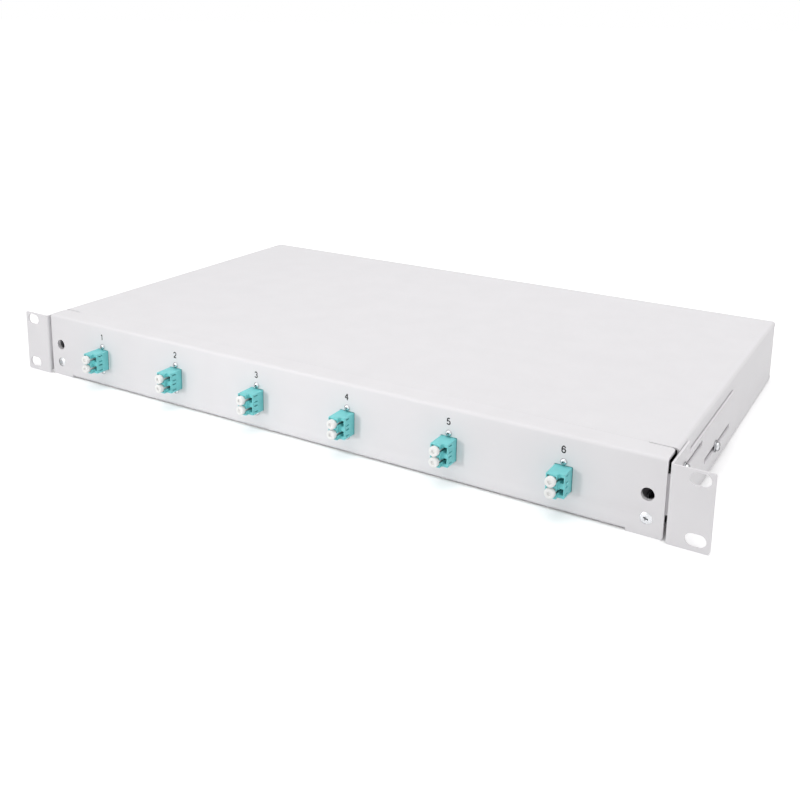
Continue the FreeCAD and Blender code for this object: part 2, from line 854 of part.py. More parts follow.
def make_splices():
    """Splice protectors in the comb."""
    reach = splice_length / 2
    return Part.makeCompound([
        rod(splice_radius, V(-reach, splice_y(i), splice_z()), V(reach, splice_y(i), splice_z()))
        for i in range(splice_count)])


def make_splice_comb():
    """Comb that holds the splice protectors."""
    floor = floor_top + cassette_wall
    front, back = splice_y(0) - splice_pitch, splice_y(splice_count - 1) + splice_pitch
    top, reach = floor + comb_height, comb_half_length
    comb = block(-reach, reach, front, back, floor, top)
    half = splice_radius + fit_gap
    grooves = []
    for i in range(splice_count):
        y = splice_y(i)
        grooves.append(block(-reach, reach, y - half, y + half, splice_z() - half, top))
    gap = block(-reach / 3, reach / 3, front, back, floor + comb_floor, top)
    return comb.cut(grooves + [gap])


def rounded_plate(half_length, front, back, bottom, top, radius):
    """Flat plate with rounded corners, symmetric about X = 0."""
    plate = block(-half_length, half_length, front, back, bottom, top)
    upright = [e for e in plate.Edges if e.BoundBox.ZLength > 0.5 * (top - bottom)]
    return plate.makeFillet(radius, upright)


def cassette_entries():
    """Gaps in the cassette's wall: two at the front for the pigtails, two at the back for the cable."""
    half = cassette_entry_width / 2
    low, high = floor_top + cassette_wall, cassette_top
    walls = [(cassette_front, cassette_front + cassette_wall), (cassette_back - cassette_wall, cassette_back)]
    cuts = []
    for x in (-cassette_entry_x, cassette_entry_x):
        cuts += [block(x - half, x + half, outer, inner, low, high) for outer, inner in walls]
    return cuts


def cassette_fingers():
    """Flat fingers under the lid that keep the fibre down."""
    low, high = cassette_top - finger_thickness, cassette_top
    half, root = finger_width / 2, cassette_wall / 2
    ends = [(cassette_front + root, cassette_front + finger_length),
            (cassette_back - finger_length, cassette_back - root)]
    fingers = [block(x - half, x + half, *end, low, high) for x in (-finger_x, finger_x) for end in ends]
    side = block(cassette_half_length - finger_length, cassette_half_length - root,
                 cassette_mid_y - half, cassette_mid_y + half, low, high)
    return fingers + [side, mirrored(side)]


def post_line(y, low, high):
    """Ends of an upright line through a cassette post."""
    return V(0, y, low), V(0, y, high)


def post_places():
    """The Y of the cassette's two posts, in front of the splices and behind them."""
    return [cassette_front + cassette_post_inset, cassette_back - cassette_post_inset]


def make_cassette():
    """Splice cassette: a shallow dish with winding fingers, cable gaps and two hollow posts."""
    outer = rounded_plate(cassette_half_length, cassette_front, cassette_back, floor_top, cassette_top,
                          cassette_corner_radius)
    inner = rounded_plate(cassette_half_length - cassette_wall, cassette_front + cassette_wall,
                          cassette_back - cassette_wall, floor_top + cassette_wall, cassette_top + 1,
                          cassette_corner_radius - cassette_wall)
    posts = [rod(cassette_post_radius, *post_line(y, floor_top, cassette_top)) for y in post_places()]
    dish = outer.cut([inner] + cassette_entries())
    dish = fused(dish, *cassette_fingers(), *posts)
    holes = [rod(stud_radius + fit_gap, *post_line(y, floor_top, cassette_top)) for y in post_places()]
    return dish.cut(holes)


def make_cassette_lid():
    """Clear lid on the cassette, held by the two nuts."""
    top = cassette_top + lid_thickness
    lid = rounded_plate(cassette_half_length, cassette_front, cassette_back, cassette_top, top,
                        cassette_corner_radius)
    grip_start = V(0, cassette_front, cassette_top)
    grip = oblong(grip_start, V(1, 0, 0), lid_grip_length, lid_grip_width, V(0, 0, lid_thickness))
    holes = [rod(stud_radius + fit_gap, *post_line(y, cassette_top, top)) for y in post_places()]
    return lid.cut([grip] + holes)


def make_cassette_nuts():
    """Knurled nuts on the cassette's studs."""
    low = cassette_top + lid_thickness
    nuts = []
    for y in post_places():
        line = post_line(y, low, low + cassette_nut_height)
        nuts.append(rod(cassette_nut_radius, *line).cut(rod(stud_radius + fit_gap, *line)))
    return Part.makeCompound(nuts)


def tray_side_stop():
    """Stop lug bent out of the tray's right side wall; it meets the housing's front tab."""
    tab_back = panel_sheet + slide_gap + housing_sheet
    lug_front = tab_back + drawer_travel + side_play
    lug_back = lug_front + tray_sheet
    inner, outer = tray_half_width - tray_sheet, tray_half_width
    lug = block(inner, outer + stop_reach, lug_front, lug_back, stop_bottom, stop_top)
    window = block(inner - 1, outer + 1, lug_back, lug_back + stop_reach, stop_bottom, stop_top)
    return lug, window


def tray_front_lip():
    """Front of the tray's floor turned up against the panel, with its fixing tabs."""
    wall = tray_sheet / 2
    middle_y = panel_sheet + wall
    low = tray_bottom + wall
    reach = front_lip_half_length
    outline = [(front_lip_run, low), (middle_y, low), (middle_y, front_lip_top)]
    lip = bent_sheet([V(-reach, y, z) for y, z in outline], tray_sheet, tray_bend, V(2 * reach, 0, 0))
    half, back = fixing_tab_half_width, panel_sheet + tray_sheet
    tabs = [block(x - half, x + half, panel_sheet, back, front_lip_top, fixing_tab_top)
            for x in fixing_tab_centres()]
    return [lip] + tabs


def tray_rear_wall():
    """Rear of the tray's floor turned up."""
    wall = tray_sheet / 2
    reach = tray_half_width - tray_sheet - tray_bend
    low = tray_bottom + wall
    outline = [(tray_back - front_lip_run, low), (tray_back - wall, low), (tray_back - wall, tray_top)]
    return bent_sheet([V(-reach, y, z) for y, z in outline], tray_sheet, tray_bend, V(2 * reach, 0, 0))


def entry_places():
    """X of the four cable entries in the tray's rear wall."""
    return [-gland_x, -blind_plug_x, blind_plug_x, gland_x]


def make_tray():
    """Drawer tray: floor, side walls, front lip with tabs, rear wall and stop lugs."""
    wall = tray_sheet / 2
    side, low = tray_half_width - wall, tray_bottom + wall
    outline = [(-side, tray_top), (-side, low), (side, low), (side, tray_top)]
    route = [V(x, tray_front, z) for x, z in outline]
    tray = bent_sheet(route, tray_sheet, tray_bend, V(0, tray_back - tray_front, 0))
    reach = tray_half_width - tray_sheet - tray_bend
    front_cut = block(-reach, reach, tray_front, front_lip_run, tray_bottom, floor_top)
    rear_cut = block(-reach, reach, tray_back - front_lip_run, tray_back, tray_bottom, floor_top)
    lug, window = tray_side_stop()
    tray = tray.cut([front_cut, rear_cut, window, mirrored(window)])
    stud_top = cassette_top + lid_thickness + cassette_nut_height
    studs = [rod(stud_radius, *post_line(y, tray_bottom, stud_top)) for y in post_places()]
    tray = fused(tray, tray_rear_wall(), lug, mirrored(lug), *tray_front_lip(), *studs)
    front, back = tray_back - tray_sheet, tray_back
    cuts = [rod(entry_radius + fit_gap, entry_point(x, front), entry_point(x, back)) for x in entry_places()]
    for x in fixing_tab_centres():
        start = V(x, panel_sheet, stud_z)
        cuts.append(rod(stud_radius + fit_gap, start, start + V(0, tray_sheet, 0)))
    return tray.cut(cuts)


def make_stud_nuts():
    """Nuts on the panel's studs, which hold the tray to it."""
    nuts = []
    for x in fixing_tab_centres():
        start = V(x, panel_sheet + tray_sheet, stud_z)
        end = start + V(0, stud_nut_height, 0)
        hole = rod(stud_radius + fit_gap, start, end)
        nuts.append(hexagon(stud_nut_flats, start, end).cut(hole))
    return Part.makeCompound(nuts)


def entry_point(x, y):
    """Point on the axis of a cable entry."""
    return V(x, y, entry_z)


def make_gland_body(x):
    """Gland body: threaded neck through the tray's rear wall and a six-sided flange behind it."""
    front = entry_point(x, tray_back - tray_sheet - gland_thread_inside)
    flange_end = tray_back + gland_flange
    back = entry_point(x, flange_end + gland_neck)
    neck = rod(entry_radius, front, back)
    flange = hexagon(gland_flats, entry_point(x, tray_back), entry_point(x, flange_end), 30)
    return fused(neck, flange).cut(rod(gland_body_bore_radius, front, back))


def make_gland_cap(x):
    """Domed gland cap, screwed over the body's rear end."""
    start = tray_back + gland_flange + fold_gap
    straight = start + gland_cap_length * 0.6
    end = start + gland_cap_length
    skirt = hexagon(gland_flats, entry_point(x, start), entry_point(x, straight), 30)
    radius = gland_flats / 2
    profile = [(0, radius), ((end - straight) * 0.6, radius * 0.96), (end - straight, gland_cap_front_radius)]
    dome = turned(profile, entry_point(x, straight), V(0, 1, 0))
    room = rod(entry_radius + fit_gap, entry_point(x, start), entry_point(x, start + gland_neck + 1))
    mouth = rod(gland_mouth_radius, entry_point(x, start), entry_point(x, end))
    return fused(skirt, dome).cut([room, mouth])


def make_gland_seal(x):
    """Rubber ring that the cap presses round the cable."""
    end = tray_back + gland_flange + gland_neck - fold_gap
    line = entry_point(x, end - seal_length), entry_point(x, end)
    return rod(gland_body_bore_radius - fit_gap, *line).cut(rod(seal_bore_radius, *line))


def make_gland_locknut(x):
    """Lock nut on the gland's neck, inside the tray."""
    end = entry_point(x, tray_back - tray_sheet)
    start = end - V(0, locknut_thickness, 0)
    return hexagon(locknut_flats, start, end, 30).cut(rod(entry_radius + fit_gap, start, end))


def make_blind_plugs():
    """Round blind plugs in the two spare cable entries."""
    depth = tray_sheet + gland_thread_inside
    head, thickness = blind_head_radius, blind_head_thickness
    profile = [(-depth, entry_radius - 1), (1 - depth, entry_radius), (0, entry_radius),
               (0, head), (thickness * 0.6, head), (thickness, head - 0.4 * thickness)]
    plugs = []
    for x in (-blind_plug_x, blind_plug_x):
        plug = turned(profile, entry_point(x, tray_back), V(0, 1, 0))
        room_end = entry_point(x, tray_back - tray_sheet)
        room = rod(entry_radius - 2, entry_point(x, tray_back - depth), room_end)
        plugs.append(plug.cut(room))
    return Part.makeCompound(plugs)


def make_blind_locknuts():
    """Lock nuts of the blind plugs."""
    return Part.makeCompound([make_gland_locknut(x) for x in (-blind_plug_x, blind_plug_x)])


def make_tie_bridges():
    """Raised bridges on the tray's floor, where the cables are tied down."""
    wall = tray_sheet / 2
    low, high = floor_top + wall, floor_top + bridge_height - wall
    bridges = []
    for x in (-gland_x, gland_x):
        half = bridge_length / 2
        y = bridge_y
        route = [V(x - half - bridge_foot, y, low), V(x - half, y, low), V(x - half, y, high),
                 V(x + half, y, high), V(x + half, y, low), V(x + half + bridge_foot, y, low)]
        bridges.append(bent_sheet(route, tray_sheet, bridge_bend, V(0, bridge_width, 0)))
    return Part.makeCompound(bridges)


def make_fibre_clips():
    """Open clips on the tray's floor that keep spare fibre together."""
    clips = []
    wall = clip_wall / 2
    low, high = floor_top + wall, floor_top + clip_height - wall
    for x in (-clip_x, clip_x):
        for y in (cassette_front - clip_depth, cassette_back - 2 * clip_depth):
            inner = x - math.copysign(clip_depth, x)
            mouth = inner + math.copysign(clip_mouth, x)
            outline = [(mouth, high), (x, high), (x, low), (inner, low), (inner, high - clip_mouth)]
            route = [V(across, y, up) for across, up in outline]
            clips.append(bent_sheet(route, clip_wall, clip_bend, V(0, clip_width, 0)))
    return Part.makeCompound(clips)


def side_pieces():
    """Pieces that stand on both sides of the box, by node name."""
    pieces = {}
    makers = {"slide_strip": make_slide_strip, "guide_rail": make_guide_rail, "bracket": make_bracket}
    for name, make in makers.items():
        left, right = both_sides(make)
        pieces[name + "_left"] = left
        pieces[name + "_right"] = right
    for side, x in (("left", -gland_x), ("right", gland_x)):
        pieces["gland_body_" + side] = make_gland_body(x)
        pieces["gland_cap_" + side] = make_gland_cap(x)
        pieces["gland_seal_" + side] = make_gland_seal(x)
        pieces["gland_locknut_" + side] = make_gland_locknut(x)
    return pieces


def adapter_pieces():
    """Adapters with their dust caps and pigtails, by node name."""
    pieces = {}
    for index, x in enumerate(adapter_centres()):
        number = str(index + 1)
        upper, lower = port_centres(x)
        pieces["adapter_" + number] = make_adapter(x)
        pieces["dust_cap_" + number + "_upper"] = make_dust_cap(upper)
        pieces["dust_cap_" + number + "_lower"] = make_dust_cap(lower)
        pieces["pigtails_" + number] = make_pigtails(index)
    return pieces


def all_pieces():
    """Every piece of the box, by node name."""
    pieces = {
        "housing": make_housing(),
        "base_plate": make_base_plate(),
        "side_nuts": make_side_nuts(),
        "bracket_washers": make_bracket_washers(),
        "bracket_screws": make_bracket_screws(),
        "front_panel": make_front_panel(),
        "panel_screws": make_panel_screws(),
        "adapter_screws": make_adapter_screws(),
        "adapter_nuts": make_adapter_nuts(),
        "pigtail_plugs": make_plugs(),
        "plug_boots": make_boots(),
        "drawer_tray": make_tray(),
        "stud_nuts": make_stud_nuts(),
        "splice_cassette": make_cassette(),
        "cassette_lid": make_cassette_lid(),
        "cassette_nuts": make_cassette_nuts(),
        "splice_comb": make_splice_comb(),
        "splice_protectors": make_splices(),
        "blind_plugs": make_blind_plugs(),
        "blind_plug_locknuts": make_blind_locknuts(),
        "tie_bridges": make_tie_bridges(),
        "fibre_clips": make_fibre_clips(),
    }
    pieces.update(side_pieces())
    pieces.update(adapter_pieces())
    return pieces


os.makedirs("parts", exist_ok=True)
for node, shape in all_pieces().items():
    shape.exportStep("parts/" + node + ".step")
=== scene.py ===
"""Dresses a rack-mounted fibre splice box with its edges, screws, print and finishes, and sets up its studio."""

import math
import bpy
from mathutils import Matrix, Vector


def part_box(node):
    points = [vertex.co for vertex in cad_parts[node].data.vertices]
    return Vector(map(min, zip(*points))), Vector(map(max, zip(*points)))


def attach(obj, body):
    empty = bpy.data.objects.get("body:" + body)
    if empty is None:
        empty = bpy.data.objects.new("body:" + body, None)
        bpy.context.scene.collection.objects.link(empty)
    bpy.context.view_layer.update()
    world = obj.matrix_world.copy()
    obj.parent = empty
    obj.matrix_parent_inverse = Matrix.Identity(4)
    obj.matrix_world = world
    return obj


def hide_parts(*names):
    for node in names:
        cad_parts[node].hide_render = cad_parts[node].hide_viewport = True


bl_info = {
    "name": "Fibre splice box",
    "version": (1, 0, 0),
    "blender": (4, 5, 0),
    "location": "View3D > Sidebar > Splice Box",
    "description": "Edges, screws, print and finishes of a rack-mounted fibre splice box, with its studio",
    "category": "Object",
}

from contextlib import contextmanager

import bmesh
import bpy
from bpy.props import FloatProperty, FloatVectorProperty, IntProperty, PointerProperty
from mathutils import Matrix, Vector

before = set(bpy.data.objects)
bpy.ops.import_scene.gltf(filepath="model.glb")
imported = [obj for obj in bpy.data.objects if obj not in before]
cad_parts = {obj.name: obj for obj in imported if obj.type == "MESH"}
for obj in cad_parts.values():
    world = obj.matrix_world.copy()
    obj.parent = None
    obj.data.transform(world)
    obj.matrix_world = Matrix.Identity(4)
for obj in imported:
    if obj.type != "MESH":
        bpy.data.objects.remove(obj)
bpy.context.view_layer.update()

MM = 0.001
FRONT = Vector((0, -1, 0))
BACK = Vector((0, 1, 0))
RIGHT = Vector((1, 0, 0))
UP = Vector((0, 0, 1))
ADAPTERS = range(1, 7)
LEVELS = ("upper", "lower")
SIDES = ("left", "right")
HOUSING, DRAWER = "housing_body", "drawer_body"
WASHER_RADIUS = 3.5 * MM
BRACKET_SCREW_HEAD_RADIUS = 2.7 * MM
ADAPTER_SCREW_HEAD_RADIUS = 1.8 * MM
FIBRE_COLOURS = ((0.62, 0.03, 0.02), (0.04, 0.36, 0.06), (0.03, 0.12, 0.55),
                 (0.80, 0.58, 0.03), (0.75, 0.75, 0.73), (0.30, 0.31, 0.32))


# Sizes and colours that a user may change


class SpliceBoxDetails(bpy.types.PropertyGroup):
    """Sizes of the details."""

    sheet_edge: FloatProperty(name="Sheet edge", description="Roundness of the coated sheet's edges",
                              default=0.22 * MM, unit="LENGTH")
    moulded_edge: FloatProperty(name="Moulded edge", description="Roundness of the plastic pieces' edges",
                                default=0.18 * MM, unit="LENGTH")
    lock_height: FloatProperty(name="Lock height", description="Height of the quick-lock holes",
                               default=0.8 * MM, unit="LENGTH")
    bracket_slimming: FloatProperty(name="Bracket slimming", default=0.8 * MM, unit="LENGTH",
                                    description="How much thinner the brackets look than the solids")
    leg_front_length: FloatProperty(name="Leg front", description="Where the leg's tall front ends in the solid",
                                    default=24.5 * MM, unit="LENGTH")
    leg_front_extra: FloatProperty(name="Leg front extra", description="How much longer the leg's tall front looks",
                                   default=6.0 * MM, unit="LENGTH")
    rack_slot_height: FloatProperty(name="Rack slot height", description="Height of the rack slots above the middle",
                                    default=15.875 * MM, unit="LENGTH")
    nose_height: FloatProperty(name="Nose height", description="Height of an adapter's nose",
                               default=13.2 * MM, unit="LENGTH")
    port_shift: FloatProperty(name="Port shift", description="How far left of an adapter's middle its ports stand",
                              default=1.5 * MM, unit="LENGTH")
    port_pitch: FloatProperty(name="Port pitch", description="Height from port to port of an adapter",
                              default=6.25 * MM, unit="LENGTH")
    neck_radius: FloatProperty(name="Cap neck", description="Radius of a dust cap's neck",
                               default=2.0 * MM, unit="LENGTH")
    grip_length: FloatProperty(name="Cap grip", description="Length of a dust cap's round grip",
                               default=2.6 * MM, unit="LENGTH")
    number_height: FloatProperty(name="Number height", description="Height of the printed numbers",
                                 default=4.1 * MM, unit="LENGTH")
    number_foot: FloatProperty(name="Number foot", description="Height of the numbers' feet above the adapters' axis",
                               default=13.5 * MM, unit="LENGTH")
    number_stroke: FloatProperty(name="Number stroke", description="Width of the numbers' lines, in number heights",
                                 default=0.18)
    number_shift: FloatProperty(name="Number shift", description="How far left of the adapters' axes the numbers stand",
                                default=0.4 * MM, unit="LENGTH")
    print_thickness: FloatProperty(name="Print thickness", description="Thickness of the printed ink",
                                   default=0.02 * MM, unit="LENGTH")
    round_steps: IntProperty(name="Round steps", description="Corners of a round piece", default=48, min=12)


class SpliceBoxFinishes(bpy.types.PropertyGroup):
    """Colours of the finishes."""

    coat: FloatVectorProperty(name="Powder coat", description="Colour of the coated sheet", subtype="COLOR",
                              size=3, min=0, max=1, default=(0.808, 0.793, 0.812))
    adapter: FloatVectorProperty(name="Adapter plastic", description="Colour of the adapters", subtype="COLOR",
                                 size=3, min=0, max=1, default=(0.19, 0.66, 0.675))
    cap: FloatVectorProperty(name="Cap plastic", description="Colour of the dust caps", subtype="COLOR",
                             size=3, min=0, max=1, default=(0.97, 0.965, 0.965))
    ink: FloatVectorProperty(name="Ink", description="Colour of the printed numbers", subtype="COLOR",
                             size=3, min=0, max=1, default=(0.012, 0.012, 0.014))


class SpliceBoxStudio(bpy.types.PropertyGroup):
    """Camera and lights."""

    camera_place: FloatVectorProperty(name="Camera place", description="Where the camera stands", subtype="TRANSLATION",
                                      size=3, default=(0.3283671, -0.4527743, 0.2281751))
    camera_turn: FloatProperty(name="Camera turn", description="Turn of the view to the left", subtype="ANGLE",
                               default=0.5422)
    camera_dip: FloatProperty(name="Camera dip", description="Downward tilt of the view", subtype="ANGLE",
                              default=0.2214)
    camera_roll: FloatProperty(name="Camera roll", description="Roll of the view about its axis", subtype="ANGLE",
                               default=0.0123)
    focal_length: FloatProperty(name="Focal length", description="Focal length on a 36 mm sensor, in millimetres",
                                default=44.621)
    shift: FloatVectorProperty(name="Shift", description="Shift of the picture, in picture widths", size=2,
                               default=(0.020, -0.1987))
    key_power: FloatProperty(name="Key light", description="Power of the narrow light at the front left, in watts",
                             default=0.17, min=0)
    top_power: FloatProperty(name="Top light", description="Power of the overhead light, in watts",
                             default=10.0, min=0)
    floor_brightness: FloatProperty(name="Floor brightness", default=1.25, min=0,
                                    description="How strongly the floor shows the light to the eye near the box")
    surround: FloatProperty(name="Surround", description="Brightness of the white room", default=0.66, min=0)


# Node materials


def add_node(material, kind, inputs=(), **settings):
    """New node of a kind, with its settings and the values of its inputs."""
    node = material.node_tree.nodes.new(kind)
    for name, value in settings.items():
        setattr(node, name, value)
    for name, value in dict(inputs).items():
        node.inputs[name].default_value = value
    return node


def connect(material, source, target):
    """Link from an output to an input."""
    material.node_tree.links.new(source, target)


def shader_of(material):
    """The material's surface shader."""
    return material.node_tree.nodes["Principled BSDF"]


def new_finish(name, **values):
    """New material with these values on its shader, whose inputs are named with _ for each space."""
    material = bpy.data.materials.new(name)
    material.use_nodes = True
    shader = shader_of(material)
    for socket, value in values.items():
        shader.inputs[socket.replace("_", " ")].default_value = value
    return material


def noise_field(material, per_metre, detail=2.0):
    """Noise in the piece's own space, as an output."""
    place = add_node(material, "ShaderNodeTexCoord")
    noise = add_node(material, "ShaderNodeTexNoise", {"Scale": per_metre, "Detail": detail})
    connect(material, place.outputs["Object"], noise.inputs["Vector"])
    return noise.outputs["Fac"]


def cell_field(material, per_metre):
    """Colours of random cells in the piece's own space, as an output."""
    place = add_node(material, "ShaderNodeTexCoord")
    cells = add_node(material, "ShaderNodeTexVoronoi", {"Scale": per_metre})
    connect(material, place.outputs["Object"], cells.inputs["Vector"])
    split = add_node(material, "ShaderNodeSeparateColor")
    connect(material, cells.outputs["Color"], split.inputs["Color"])
    return split.outputs["Red"]


def vary_colour(material, field, first, last, low=0.3, high=0.7):
    """Colour that goes from the first to the last while the field goes from low to high."""
    ramp = add_node(material, "ShaderNodeValToRGB")
    ramp.color_ramp.elements[0].position, ramp.color_ramp.elements[1].position = low, high
    ramp.color_ramp.elements[0].color = (*first, 1)
    ramp.color_ramp.elements[1].color = (*last, 1)
    connect(material, field, ramp.inputs["Fac"])
    connect(material, ramp.outputs["Color"], shader_of(material).inputs["Base Color"])


def vary_roughness(material, field, low, high):
    """Roughness that goes from low to high over the field."""
    span = add_node(material, "ShaderNodeMapRange", {"From Min": 0.3, "From Max": 0.7, "To Min": low, "To Max": high})
    connect(material, field, span.inputs["Value"])
    connect(material, span.outputs["Result"], shader_of(material).inputs["Roughness"])


def add_bump(material, field, height, strength):
    """Relief of that height from the field, on top of any relief that is already there."""
    normal = shader_of(material).inputs["Normal"]
    bump = add_node(material, "ShaderNodeBump", {"Strength": strength, "Distance": height})
    if normal.is_linked:
        connect(material, normal.links[0].from_socket, bump.inputs["Normal"])
    connect(material, field, bump.inputs["Height"])
    connect(material, bump.outputs["Normal"], normal)


def shaded(colour, factor):
    """The colour, made lighter or darker by a factor."""
    return tuple(min(1.0, channel * factor) for channel in colour)


def powder_coat():
    """Light grey powder coat: a faint mottle and a fine orange peel."""
    colour = bpy.context.scene.splice_box_finishes.coat
    material = new_finish("powder_coat")
    vary_colour(material, noise_field(material, 45, 3), shaded(colour, 0.988), shaded(colour, 1.012))
    vary_roughness(material, noise_field(material, 700), 0.44, 0.56)
    add_bump(material, noise_field(material, 1500, 1), 0.012 * MM, 0.6)
    add_bump(material, noise_field(material, 5200, 1), 0.005 * MM, 0.6)


def zinc_sheet():
    """Galvanised sheet with its crystal pattern."""
    material = new_finish("zinc_sheet", Metallic=1.0)
    vary_colour(material, cell_field(material, 180), (0.52, 0.54, 0.56), (0.70, 0.72, 0.74), 0, 1)
    vary_roughness(material, noise_field(material, 260, 4), 0.34, 0.52)


def bright_zinc():
    """Bright zinc plate of the screws, nuts and washers, with a painted dark reflection: darker where it slants away
    from the eye.
    """
    material = new_finish("bright_zinc", Metallic=1.0)
    # Painted dark reflection: the plating's colour turns near black where the surface slants away from the eye.
    painted_reflection_slant = add_node(material, "ShaderNodeLayerWeight", {"Blend": 0.5}).outputs["Facing"]
    vary_colour(material, painted_reflection_slant, (0.72, 0.73, 0.75), (0.05, 0.05, 0.055), 0.3, 0.7)
    vary_roughness(material, noise_field(material, 1800, 2), 0.17, 0.33)


def dark_steel():
    """Steel nuts with a black oxide skin."""
    material = new_finish("dark_steel", Metallic=1.0)
    vary_colour(material, noise_field(material, 700, 3), (0.04, 0.04, 0.045), (0.07, 0.07, 0.075))
    vary_roughness(material, noise_field(material, 1200, 2), 0.36, 0.55)


def moulded_plastic(name, colour, roughness, **values):
    """Moulded plastic: a faint cloudiness and the mould's fine grain."""
    material = new_finish(name, **values)
    vary_colour(material, noise_field(material, 220, 2), shaded(colour, 0.95), shaded(colour, 1.05))
    vary_roughness(material, noise_field(material, 900, 2), roughness - 0.05, roughness + 0.07)
    add_bump(material, noise_field(material, 6000, 1), 0.004 * MM, 0.5)


def clear_plastic(name, colour, roughness):
    """Clear moulded plastic with a slight ripple."""
    material = new_finish(name, Base_Color=(*colour, 1), Transmission_Weight=1.0, IOR=1.49)
    vary_roughness(material, noise_field(material, 60, 2), roughness * 0.7, roughness * 1.4)
    add_bump(material, noise_field(material, 90, 1), 0.01 * MM, 0.5)


def fibre_coating(name, colour):
    """Coloured coating of a fibre."""
    material = new_finish(name, Roughness=0.35, Coat_Weight=0.3)
    vary_colour(material, noise_field(material, 150, 2), shaded(colour, 0.9), shaded(colour, 1.08))


def printed_ink():
    """Dark screen print with a slightly uneven gloss."""
    colour = bpy.context.scene.splice_box_finishes.ink
    material = new_finish("printed_ink")
    vary_roughness(material, noise_field(material, 1600, 2), 0.38, 0.6)
    vary_colour(material, noise_field(material, 2400, 2), shaded(colour, 0.8), shaded(colour, 1.5))


def finishes():
    """All finishes of the box, made once and found again by name."""
    if "powder_coat" not in bpy.data.materials:
        colours = bpy.context.scene.splice_box_finishes
        powder_coat()
        zinc_sheet()
        bright_zinc()
        dark_steel()
        printed_ink()
        moulded_plastic("adapter_plastic", colours.adapter, 0.38)
        moulded_plastic("cap_plastic", colours.cap, 0.42, Subsurface_Weight=0.15, Subsurface_Scale=0.8 * MM)
        moulded_plastic("plug_plastic", (0.06, 0.24, 0.55), 0.35)
        moulded_plastic("boot_plastic", (0.82, 0.82, 0.80), 0.5)
        moulded_plastic("cassette_plastic", (0.62, 0.63, 0.65), 0.45)
        moulded_plastic("clip_plastic", (0.82, 0.82, 0.79), 0.45)
        moulded_plastic("gland_plastic", (0.34, 0.35, 0.37), 0.48)
        moulded_plastic("black_plastic", (0.02, 0.02, 0.022), 0.4)
        moulded_plastic("slide_plastic", (0.85, 0.85, 0.82), 0.3)
        moulded_plastic("black_rubber", (0.018, 0.018, 0.018), 0.7)
        clear_plastic("lid_plastic", (0.95, 0.97, 0.98), 0.06)
        clear_plastic("sleeve_plastic", (0.92, 0.94, 0.95), 0.12)
        for number, colour in zip(ADAPTERS, FIBRE_COLOURS):
            fibre_coating("fibre_coating_" + str(number), colour)
    return bpy.data.materials


def paint(obj, finish):
    """The whole object in one finish."""
    obj.data.materials.clear()
    obj.data.materials.append(finishes()[finish])


# Modelling


def activate(obj):
    """Only this object selected and active."""
    bpy.ops.object.select_all(action="DESELECT")
    obj.select_set(True)
    bpy.context.view_layer.objects.active = obj


@contextmanager
def edit_mode(obj, element="FACE"):
    """Edit mode on one object with nothing selected, as its editable mesh."""
    activate(obj)
    bpy.ops.object.mode_set(mode="EDIT")
    bpy.ops.mesh.select_mode(type=element)
    bpy.ops.mesh.select_all(action="DESELECT")
    yield bmesh.from_edit_mesh(obj.data)
    bpy.ops.object.mode_set(mode="OBJECT")


def pick(obj, elements, wanted):
    """Selects the faces or vertices that the test wants, and nothing else."""
    bpy.ops.mesh.select_all(action="DESELECT")
    for element in elements:
        element.select_set(wanted(element))
    bmesh.update_edit_mesh(obj.data)


def move_picked(obj, elements, wanted, way):
    """Moves the faces or vertices that the test wants."""
    pick(obj, elements, wanted)
    bpy.ops.transform.translate(value=way)


def apply_modifier(obj, kind, **settings):
    """Adds a modifier and applies it."""
    activate(obj)
    modifier = obj.modifiers.new(kind.title(), kind)
    for name, value in settings.items():
        setattr(modifier, name, value)
    bpy.ops.object.modifier_apply(modifier=modifier.name)


def fix_place(obj):
    """Moves the object's place, turn and scale into its mesh."""
    activate(obj)
    bpy.ops.object.transform_apply(location=True, rotation=True, scale=True)


def smooth_rounds(obj, angle=35):
    """Smooth shading over everything flatter than the angle, in degrees."""
    activate(obj)
    bpy.ops.object.shade_smooth_by_angle(angle=math.radians(angle))


def soften_edges(obj, width):
    """Rounds the edges sharper than 32 degrees."""
    apply_modifier(obj, "BEVEL", width=width, segments=2, limit_method="ANGLE", angle_limit=math.radians(32),
                   harden_normals=True, use_clamp_overlap=True, miter_outer="MITER_SHARP")


def copy_node(node, name):
    """Own mesh object with the shape of a CAD node."""
    copy = bpy.data.objects.new(name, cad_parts[node].data.copy())
    bpy.context.collection.objects.link(copy)
    with edit_mode(copy):
        bpy.ops.mesh.select_all(action="SELECT")
        bpy.ops.mesh.remove_doubles(threshold=0.0005 * MM)
    return copy


def merge_flats(obj, splits=()):
    """Merges loose triangles into flat faces. A face can't hold a hole, so where a split, which is a
    direction and a distance along it, passes through holes, their faces are parted there."""
    with edit_mode(obj, "EDGE"):
        for direction, distance in splits:
            bpy.ops.mesh.select_all(action="SELECT")
            bpy.ops.mesh.bisect(plane_co=direction * distance, plane_no=direction)
            bpy.ops.mesh.mark_seam()
        bpy.ops.mesh.select_all(action="SELECT")
        bpy.ops.mesh.dissolve_limited(angle_limit=math.radians(0.4), delimit={"SEAM"})


def stand_in(obj, body, node, finish):
    """Stands an object in a CAD node's place."""
    paint(obj, finish)
    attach(obj, body)
    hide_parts(node)


def softened_node(node, body, width, finish, splits=(), reshape=None):
    """Stands a round-edged copy in a CAD node's place, reshaped first where a function for that is given."""
    copy = copy_node(node, node + "_finished")
    merge_flats(copy, splits)
    if reshape:
        reshape(copy)
    smooth_rounds(copy)
    soften_edges(copy, width)
    stand_in(copy, body, node, finish)


